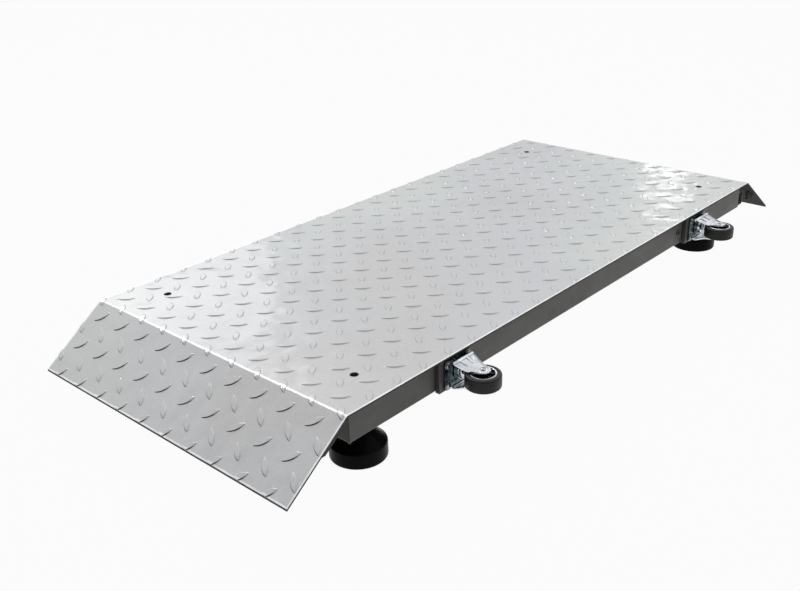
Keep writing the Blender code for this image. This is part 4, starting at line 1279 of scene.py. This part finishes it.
@dataclass
class CasterFork:
    """The pressed fork: a root round a race boss, two tapering lipped legs, and the axle.

    It is made with its root at height 0 and its legs running up.

    Attributes:
        wardrobe: Where the finishes come from.
        end: Near or far.
        thickness: The sheet.
        gap: Between the legs at the axle.
        root_half: Half the root's height over both legs.
        root_x: Ends of the root along X, from the swivel axis.
        shoulder: Distance out from the root at which the legs turn parallel.
        reach: How far from the swivel axis the root's corners are turned off.
        end_radius: Radius of a leg's end.
        lip: Width of the raised lip round a leg.
        press: Depth of the field within the lip.
        open_half: Half the height of the opening beside the round crown.
        crown: Radius of the crown within that opening.
        wide: Half length of the blocks that the fork is cut from.
        fold: Outside radius of the bend between root and leg.
    """

    wardrobe: Wardrobe
    end: str
    thickness: float = 0.0025
    gap: float = 0.025
    root_half: float = 0.0225
    root_x: Pair = (-0.0300, 0.0165)
    shoulder: float = 0.0220
    reach: float = 0.0345
    end_radius: float = 0.0108
    lip: float = 0.0020
    press: float = 0.0009
    open_half: float = 0.0165
    crown: float = 0.0162
    wide: float = 0.045
    fold: float = 0.0045

    def __post_init__(self) -> None:
        """Read the swivel axis, the crown's back and the axle from the CAD."""
        low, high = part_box(f"caster_fork_{self.end}")
        plate_low, plate_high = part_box(f"caster_plate_{self.end}")
        self.axis_x = (plate_low.x + plate_high.x) / 2
        self.level = (low.z + high.z) / 2
        self.axle = middle(f"caster_axle_{self.end}")
        self.back = high.y
        self.run = self.back - self.axle.y
        self.trail = self.axle.x - self.axis_x

    def bell(self, inset: float, level: float, fold: float) -> Item:
        """A block that narrows from the root to the shoulder and runs on straight.

        Args:
            inset: How far its sides lie within the fork's outside.
            level: Height of its flat bottom.
            fold: Radius along its two bottom edges.

        Returns:
            The solid.
        """
        def long_at(height: float) -> Callable[..., bool]:
            """A test for the long edges at a height."""
            return lambda edge: (all(abs(vert.co.z - height) < 1e-5 for vert in edge.verts)
                                 and abs(edge.verts[0].co.x - edge.verts[1].co.x) > 0.01)

        root, straight = self.root_half - inset, self.gap / 2 + self.thickness - inset
        top = self.run + self.end_radius + 10.0 * abs(inset)
        item = add_box((-self.wide, -root, level), (self.wide, root, self.shoulder))
        with editing(item):
            pick(item, Part.FACE, lambda face: face.normal.z > 0.9)
            bpy.ops.transform.resize(value=(1.0, straight / root, 1.0),
                                     center_override=(0.0, 0.0, self.shoulder))
            bpy.ops.mesh.extrude_region_move(
                TRANSFORM_OT_translate={"value": (0.0, 0.0, top - self.shoulder)})
            pick(item, Part.EDGE, long_at(level))
            bpy.ops.mesh.bevel(offset=fold, segments=6)
            pick(item, Part.EDGE, long_at(self.shoulder))
            bpy.ops.mesh.bevel(offset=0.006, segments=5)
        return item

    def outline(self, inset: float) -> Item:
        """The fork's outline as seen square to its legs, made smaller by an inset."""
        end = add_disc(self.end_radius - inset, -0.03, 0.03, 72)
        place(end, (self.trail, 0.0, self.run), "-Y")
        low, high = self.root_x
        foot = add_box((low + inset, -0.03, -0.001 + 4.0 * inset),
                       (high - inset, 0.03, self.thickness + 3.0 * inset))
        item = join_all([end, foot])
        with editing(item):
            bpy.ops.mesh.select_all(action="SELECT")
            bpy.ops.mesh.convex_hull()
        return item

    def field(self, side: float) -> Item:
        """What the press takes from one leg's outside, to leave a lip round it and two ribs."""
        block = combine(self.bell(-0.01, 0.003, 0.0005), self.bell(self.press, -0.001, self.fold),
                        "DIFFERENCE")
        item = combine(self.outline(self.lip), block, "INTERSECT")
        half = add_box((-0.06, min(0.06 * side, 0.0), -0.01), (0.06, max(0.06 * side, 0.0), 0.08))
        combine(item, half, "INTERSECT")
        for x, lean in ((-0.015, 9.0), (0.0, -7.0)):
            rib = add_box((-0.0016, -0.03, -0.004), (0.0016, 0.03, 0.0135))
            swing = Matrix.Rotation(math.radians(lean), 4, "Y")
            rib.matrix_world = Matrix.Translation((x, 0.0, 0.005)) @ swing
            combine(item, bake(rib), "DIFFERENCE")
        return item

    def boss(self) -> Item:
        """The round race cup inside the root, with a raised rim."""
        level = self.thickness
        return turn([(0.0092, level - 0.0002), (0.0095, level + 0.0012), (0.0104, level + 0.0016),
                     (0.0122, level + 0.0017), (0.0130, level + 0.0028), (0.0140, level + 0.0031),
                     (0.0147, level + 0.0026), (0.0150, level - 0.0002)], 64, closed=True)

    def fork(self) -> Item:
        """The whole fork, drilled, pressed and edged."""
        item = combine(self.bell(0.0, 0.0, self.fold),
                       self.bell(self.thickness, self.thickness, 0.0020), "DIFFERENCE")
        combine(item, self.outline(0.0), "INTERSECT")
        combine(item, add_disc(self.reach, -0.02, 0.09, 96), "INTERSECT")
        bay = add_box((-self.wide, -self.open_half, -0.002), (-0.002, self.open_half, 0.012))
        combine(bay, add_disc(self.crown, -PAST, 2 * PAST, 96), "DIFFERENCE")
        combine(item, bay, "DIFFERENCE")
        for side in SIDES:
            combine(item, self.field(side), "DIFFERENCE")
        combine(item, add_disc(0.0050, -PAST, 2 * PAST, 48), "DIFFERENCE")
        drill = add_disc(0.0034, -0.03, 0.03, 32)
        combine(item, place(drill, (self.trail, 0.0, self.run), "-Y"), "DIFFERENCE")
        soften(item, 0.00035, 2, 30.0)
        return place(join_all([item, self.boss()]), (self.axis_x, self.back, self.level), "-Y")

    def pin(self) -> Item:
        """The axle bolt: a washer and a round socket head above, a washer and a nut below."""
        top = self.gap / 2 + self.thickness - self.press
        pieces = [add_disc(0.0030, -top - 0.0030, top + 0.0010, 32)]
        for level, axis in ((top, "+Z"), (-top, "-Z")):
            washer = turn([(0.0078, -0.0002), (0.0080, 0.0001), (0.0079, 0.0004),
                           (0.0074, 0.0006), (0.0060, 0.0004), (0.0054, 0.0008),
                           (0.0036, 0.0009)], 48)
            pieces.append(place(washer, (0.0, 0.0, level), axis))
        head = turn([(0.0040, 0.0008), (0.0042, 0.0016), (0.0041, 0.0026), (0.0037, 0.0034),
                     (0.0031, 0.0038), (0.0026, 0.0038), (0.0023, 0.0033), (0.0021, 0.0018),
                     (0.0006, 0.0015)], 40)
        nut = chamfered_hexagon(0.0052, 0.0026, 0.0006)
        pieces.append(place(head, (0.0, 0.0, top)))
        pieces.append(place(nut, (0.0, 0.0, -top - 0.0008), "-Z", 20.0))
        return place(join_all(pieces), self.axle)

    def build(self) -> None:
        """Make the fork and the axle on the fork's body."""
        body = f"fork_{self.end}"
        self.wardrobe.stand_in(self.fork(), f"caster_fork_{self.end}", "pressed", CASTER_ZINC,
                               body)
        self.wardrobe.stand_in(self.pin(), f"caster_axle_{self.end}", "bolt", FASTENER_ZINC, body)


@dataclass
class CasterWheel:
    """A wheel: ribbed hub, bright ring and rubber tyre.

    Attributes:
        wardrobe: Where the finishes come from.
        end: Near or far.
        half: Half the tyre's width.
        radius: Outside radius of the tyre.
        ring: Outside radius of the bright ring.
        spokes: Ribs in each side of the hub.
        first_spoke: Turn of the first rib, in degrees.
    """

    wardrobe: Wardrobe
    end: str
    half: float = 0.0105
    radius: float = 0.0265
    ring: float = 0.0194
    spokes: int = 6
    first_spoke: float = 14.0

    def __post_init__(self) -> None:
        """Read the wheel's place from the CAD."""
        self.spot = middle(f"wheel_tyre_{self.end}")

    def both(self, side: Sequence[Ring], sides: int = 64) -> Item:
        """Turn a profile and its mirror image below into one ring, from inside to outside."""
        mirrored = [(radius, -height) for radius, height in reversed(side)]
        return turn([*side, *mirrored], sides, closed=True)

    def hub(self) -> Item:
        """The hub: a boss, a deep recess with ribs, and a seat for the ring."""
        boss, web = self.half + 0.0010, self.half - 0.0040
        pieces = [self.both([(0.0036, boss - 0.0004), (0.0040, boss), (0.0068, boss),
                             (0.0075, boss - 0.0006), (0.0078, web + 0.0006), (0.0086, web),
                             (0.0160, web), (0.0168, web + 0.0008), (0.0172, self.half - 0.0006),
                             (0.0182, self.half - 0.0006)])]
        for number in range(self.spokes):
            rib = soften(add_box((0.0070, -0.0009, -self.half + 0.0014),
                                 (0.0175, 0.0009, self.half - 0.0014)), 0.0003)
            spin = 360.0 * number / self.spokes + self.first_spoke
            pieces.append(place(rib, (0.0, 0.0, 0.0), "+Z", spin))
        return place(join_all(pieces), self.spot)

    def rim(self) -> Item:
        """The bright ring between hub and tyre."""
        top = self.half + 0.0003
        return place(self.both([(0.0171, top - 0.0012), (0.0173, top - 0.0003), (0.0178, top),
                                (0.0189, top), (self.ring, top - 0.0004)], 96), self.spot)

    def tyre(self) -> Item:
        """The tyre: a stepped sidewall, round shoulders and a fine mould line."""
        inner, top, wide = self.ring + 0.0001, self.half, self.radius
        profile = [(inner, top - 0.0004), (inner + 0.0006, top - 0.0001), (wide - 0.0036, top),
                   (wide - 0.0030, top - 0.0001), (wide - 0.0016, top - 0.0006),
                   (wide - 0.0006, top - 0.0015), (wide - 0.0002, top - 0.0027),
                   (wide - 0.0001, 0.0006), (wide, 0.0003)]
        return place(self.both(profile, 96), self.spot)

    def build(self) -> None:
        """Make the hub, the ring and the tyre on the wheel's body."""
        body = f"wheel_{self.end}"
        self.wardrobe.stand_in(self.hub(), f"wheel_hub_{self.end}", "ribbed", HUB_PLASTIC, body)
        self.wardrobe.piece(self.rim(), f"wheel_ring_{self.end}", CASTER_ZINC, body=body)
        self.wardrobe.stand_in(self.tyre(), f"wheel_tyre_{self.end}", "rubber", TYRE_RUBBER, body)


@dataclass
class JunctionBox:
    """The box for the load cells' leads and its screwed lid.

    Attributes:
        wardrobe: Where the finishes come from.
        wall: Thickness of the box's walls.
        corner: Radius of its upright corners.
        corner_steps: Facets round a corner.
        screw_inset: From the lid's sides to its screws.
        screw_turn: Turns each slot another way, in degrees a metre.
    """

    wardrobe: Wardrobe
    wall: float = 0.0025
    corner: float = 0.006
    corner_steps: int = 6
    screw_inset: float = 0.009
    screw_turn: float = 900.0

    def box(self) -> Item:
        """The hollow box, open to its lid."""
        low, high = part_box("junction_box")
        item = round_corners(add_box(low, high), self.corner, self.corner_steps)
        inset = Vector((self.wall, self.wall, 0.0))
        hollow = add_box(low + inset - Vector((0, 0, 0.01)),
                         high - inset - Vector((0, 0, self.wall)))
        round_corners(hollow, self.corner - self.wall, self.corner_steps)
        return soften(combine(item, hollow, "DIFFERENCE"), 0.0005)

    def build(self) -> None:
        """Make the box, the lid and its four screws."""
        self.wardrobe.stand_in(self.box(), "junction_box", "moulded", BOX_PLASTIC)
        low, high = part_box("junction_box_lid")
        lid = soften(round_corners(add_box(low, high), self.corner, self.corner_steps), 0.0007)
        screws = []
        for x in (low.x + self.screw_inset, high.x - self.screw_inset):
            for y in (low.y + self.screw_inset, high.y - self.screw_inset):
                sink = place(add_disc(0.0042, -0.001, 0.0016, 32), (x, y, low.z))
                combine(lid, sink, "DIFFERENCE")
                head = turn([(0.0035, 0.0), (0.0035, 0.0008), (0.0028, 0.0014),
                             (0.0012, 0.0016)], 32)
                slot = add_box((-0.0024, -0.0004, 0.0009), (0.0024, 0.0004, 0.003))
                combine(head, slot, "DIFFERENCE")
                screws.append(place(head, (x, y, low.z + 0.0017), "-Z",
                                    self.screw_turn * (x + y)))
        self.wardrobe.stand_in(lid, "junction_box_lid", "moulded", BOX_PLASTIC)
        self.wardrobe.piece(join_all(screws), "junction_box_screws", FASTENER_ZINC)


@dataclass(frozen=True)
class Lamp:
    """A soft rectangular lamp.

    Attributes:
        name: Its name.
        spot: Where it hangs.
        aim: The point that it faces.
        size: Its two sides.
        power: In watts.
        tint: Its colour.
    """

    name: str
    spot: Point
    aim: Point
    size: Pair
    power: float
    tint: Colour = WHITE

    def build(self) -> None:
        """Hang the lamp."""
        light = bpy.data.lights.new(self.name, "AREA")
        light.shape = "RECTANGLE"
        light.size, light.size_y = self.size
        light.energy = self.power
        light.color = self.tint
        item = link(bpy.data.objects.new(self.name, light))
        item.location = self.spot
        way = Vector(self.aim) - Vector(self.spot)
        item.rotation_euler = way.to_track_quat("-Z", "Y").to_euler()


LAMPS = (
    Lamp("overhead", (0.2, 0.2, 3.0), (0.0, 0.0, 0.0), (2.4, 2.0), 20.0),
    Lamp("far_window", (3.77, 1.54, 1.27), (0.53, -0.09, 0.13), (0.24, 0.14), 0.65),
    Lamp("left_window", (1.5, 4.0, 2.1), (-0.4, 0.2, 0.1), (2.0, 1.0), 9.0),
    Lamp("high_window", (0.05, 2.9, 2.8), (-0.58, 0.04, 0.13), (0.30, 1.7), 24.0),
    Lamp("ramp_window", (-1.3, 1.5, 1.0), (-0.65, 0.1, 0.08), (0.8, 0.6), 0.5, (1.0, 0.98, 0.93)),
    Lamp("end_window", (2.96, 0.4, 2.56), (0.0, -0.24, 0.13), (0.5, 0.25), 5.5),
    Lamp("side_window", (0.2, -3.6, 1.8), (0.0, -0.24, 0.1), (3.0, 0.5), 12.0, (1.0, 0.98, 0.94)),
)
SKY = [(0.0, (0.40, 0.42, 0.44)), (0.30, (0.86, 0.88, 0.91)), (0.50, WHITE),
       (0.95, (0.80, 0.82, 0.85))]


@dataclass
class Studio:
    """The camera, the lamps, the sky and the floor.

    Attributes:
        eye: Where the camera stands.
        turn_rows: The rows of its rotation.
        focal_pixels: Focal length in the photograph's pixels.
        frame_pixels: Width of the photograph.
        ahead: The way the camera looks, level.
        ground: Grey of the floors.
        glow: Share of white that the camera sees in the floor.
    """

    eye: Point = (-1.29829, -1.01158, 0.77037)
    turn_rows: tuple[Point, Point, Point] = ((0.670341, 0.328885, -0.665190),
                                             (-0.741344, 0.257634, -0.619705),
                                             (-0.032436, 0.908548, 0.416520))
    focal_pixels: float = 976.0
    frame_pixels: float = 800.0
    ahead: Point = (0.72, 0.69, 0.0)
    ground: float = 0.30
    glow: float = 0.96

    def camera(self) -> None:
        """The photograph's camera."""
        lens = bpy.data.cameras.new("camera")
        lens.sensor_width = 36.0
        lens.lens = self.focal_pixels / self.frame_pixels * lens.sensor_width
        lens.clip_start = 0.01
        lens.clip_end = 50.0
        item = link(bpy.data.objects.new("camera", lens))
        item.matrix_world = Matrix.Translation(self.eye) @ Matrix(self.turn_rows).to_4x4()
        bpy.context.scene.camera = item

    def sky(self) -> None:
        """A pale sky, dimmer behind the camera."""
        world = bpy.data.worlds.new("sky")
        bpy.context.scene.world = world
        world.use_nodes = True
        tree = world.node_tree
        ray = add_node(tree, "ShaderNodeTexCoord", "Generated", {})
        height = add_node(tree, "ShaderNodeSeparateXYZ", "Z", {"Vector": ray})
        before = add_node(tree, "ShaderNodeVectorMath", "Value", {0: ray, 1: self.ahead},
                          operation="DOT_PRODUCT")
        strength = add_node(tree, "ShaderNodeMapRange", "Result", {
            "Value": before, "From Min": -1.0, "From Max": 0.5, "To Min": 0.30, "To Max": 1.0},
            interpolation_type="SMOOTHSTEP")
        feed(tree, tree.nodes["Background"],
             {"Color": add_ramp(tree, height, SKY), "Strength": strength})

    def ground_plane(self, name: str, size: Pair, centre: Point, glow: float) -> None:
        """A plain floor; the camera, metal and glass see it lightened by a share of plain white.

        Args:
            name: The floor's name.
            size: Its length and width.
            centre: Its middle.
            glow: The share of white that the camera sees.
        """
        item = new(bpy.ops.mesh.primitive_plane_add, size=1.0, location=centre)
        item.scale = (*size, 1.0)
        bake(item)
        item.name = name
        material = bpy.data.materials.new(name)
        material.use_nodes = True
        tree = material.node_tree
        tree.nodes.remove(tree.nodes["Principled BSDF"])
        path = tree.nodes.new("ShaderNodeLightPath").outputs
        seen = path["Is Camera Ray"]
        for ray in ("Is Glossy Ray", "Is Transmission Ray"):
            seen = add_node(tree, "ShaderNodeMath", "Value", {0: seen, 1: path[ray]},
                            operation="MAXIMUM")
        share = add_node(tree, "ShaderNodeMath", "Value", {0: seen, 1: glow},
                         operation="MULTIPLY")
        grey = (self.ground, self.ground, self.ground, 1.0)
        diffuse = add_node(tree, "ShaderNodeBsdfDiffuse", "BSDF", {"Color": grey})
        white = add_node(tree, "ShaderNodeEmission", "Emission", {"Color": (*WHITE, 1.0)})
        surface = add_node(tree, "ShaderNodeMixShader", "Shader",
                           {"Fac": share, 1: diffuse, 2: white})
        feed(tree, tree.nodes["Material Output"], {"Surface": surface})
        item.data.materials.append(material)

    def build(self) -> None:
        """Set up the whole studio."""
        bpy.context.scene.view_settings.view_transform = "Standard"
        self.camera()
        for lamp in LAMPS:
            lamp.build()
        self.sky()
        self.ground_plane("floor", (40.0, 40.0), (0.0, 0.0, -0.0006), self.glow)
        self.ground_plane("floor_in_shadow", (1.10, 0.34), (0.0, 0.07, -0.0003), 0.0)


def main() -> None:
    """Build every sub-assembly in order."""
    bpy.ops.object.select_all(action="DESELECT")
    wardrobe = Wardrobe()
    TreadDeck(wardrobe).build()
    TubeFrame(wardrobe).build()
    for corner in CORNERS:
        CellStation(wardrobe, corner).build()
        LevellingFoot(wardrobe, corner).build()
    for end in CASTERS:
        CasterMount(wardrobe, end).build()
        CasterFork(wardrobe, end).build()
        CasterWheel(wardrobe, end).build()
    JunctionBox(wardrobe).build()
    Studio().build()


if __name__ == "__main__":
    main()
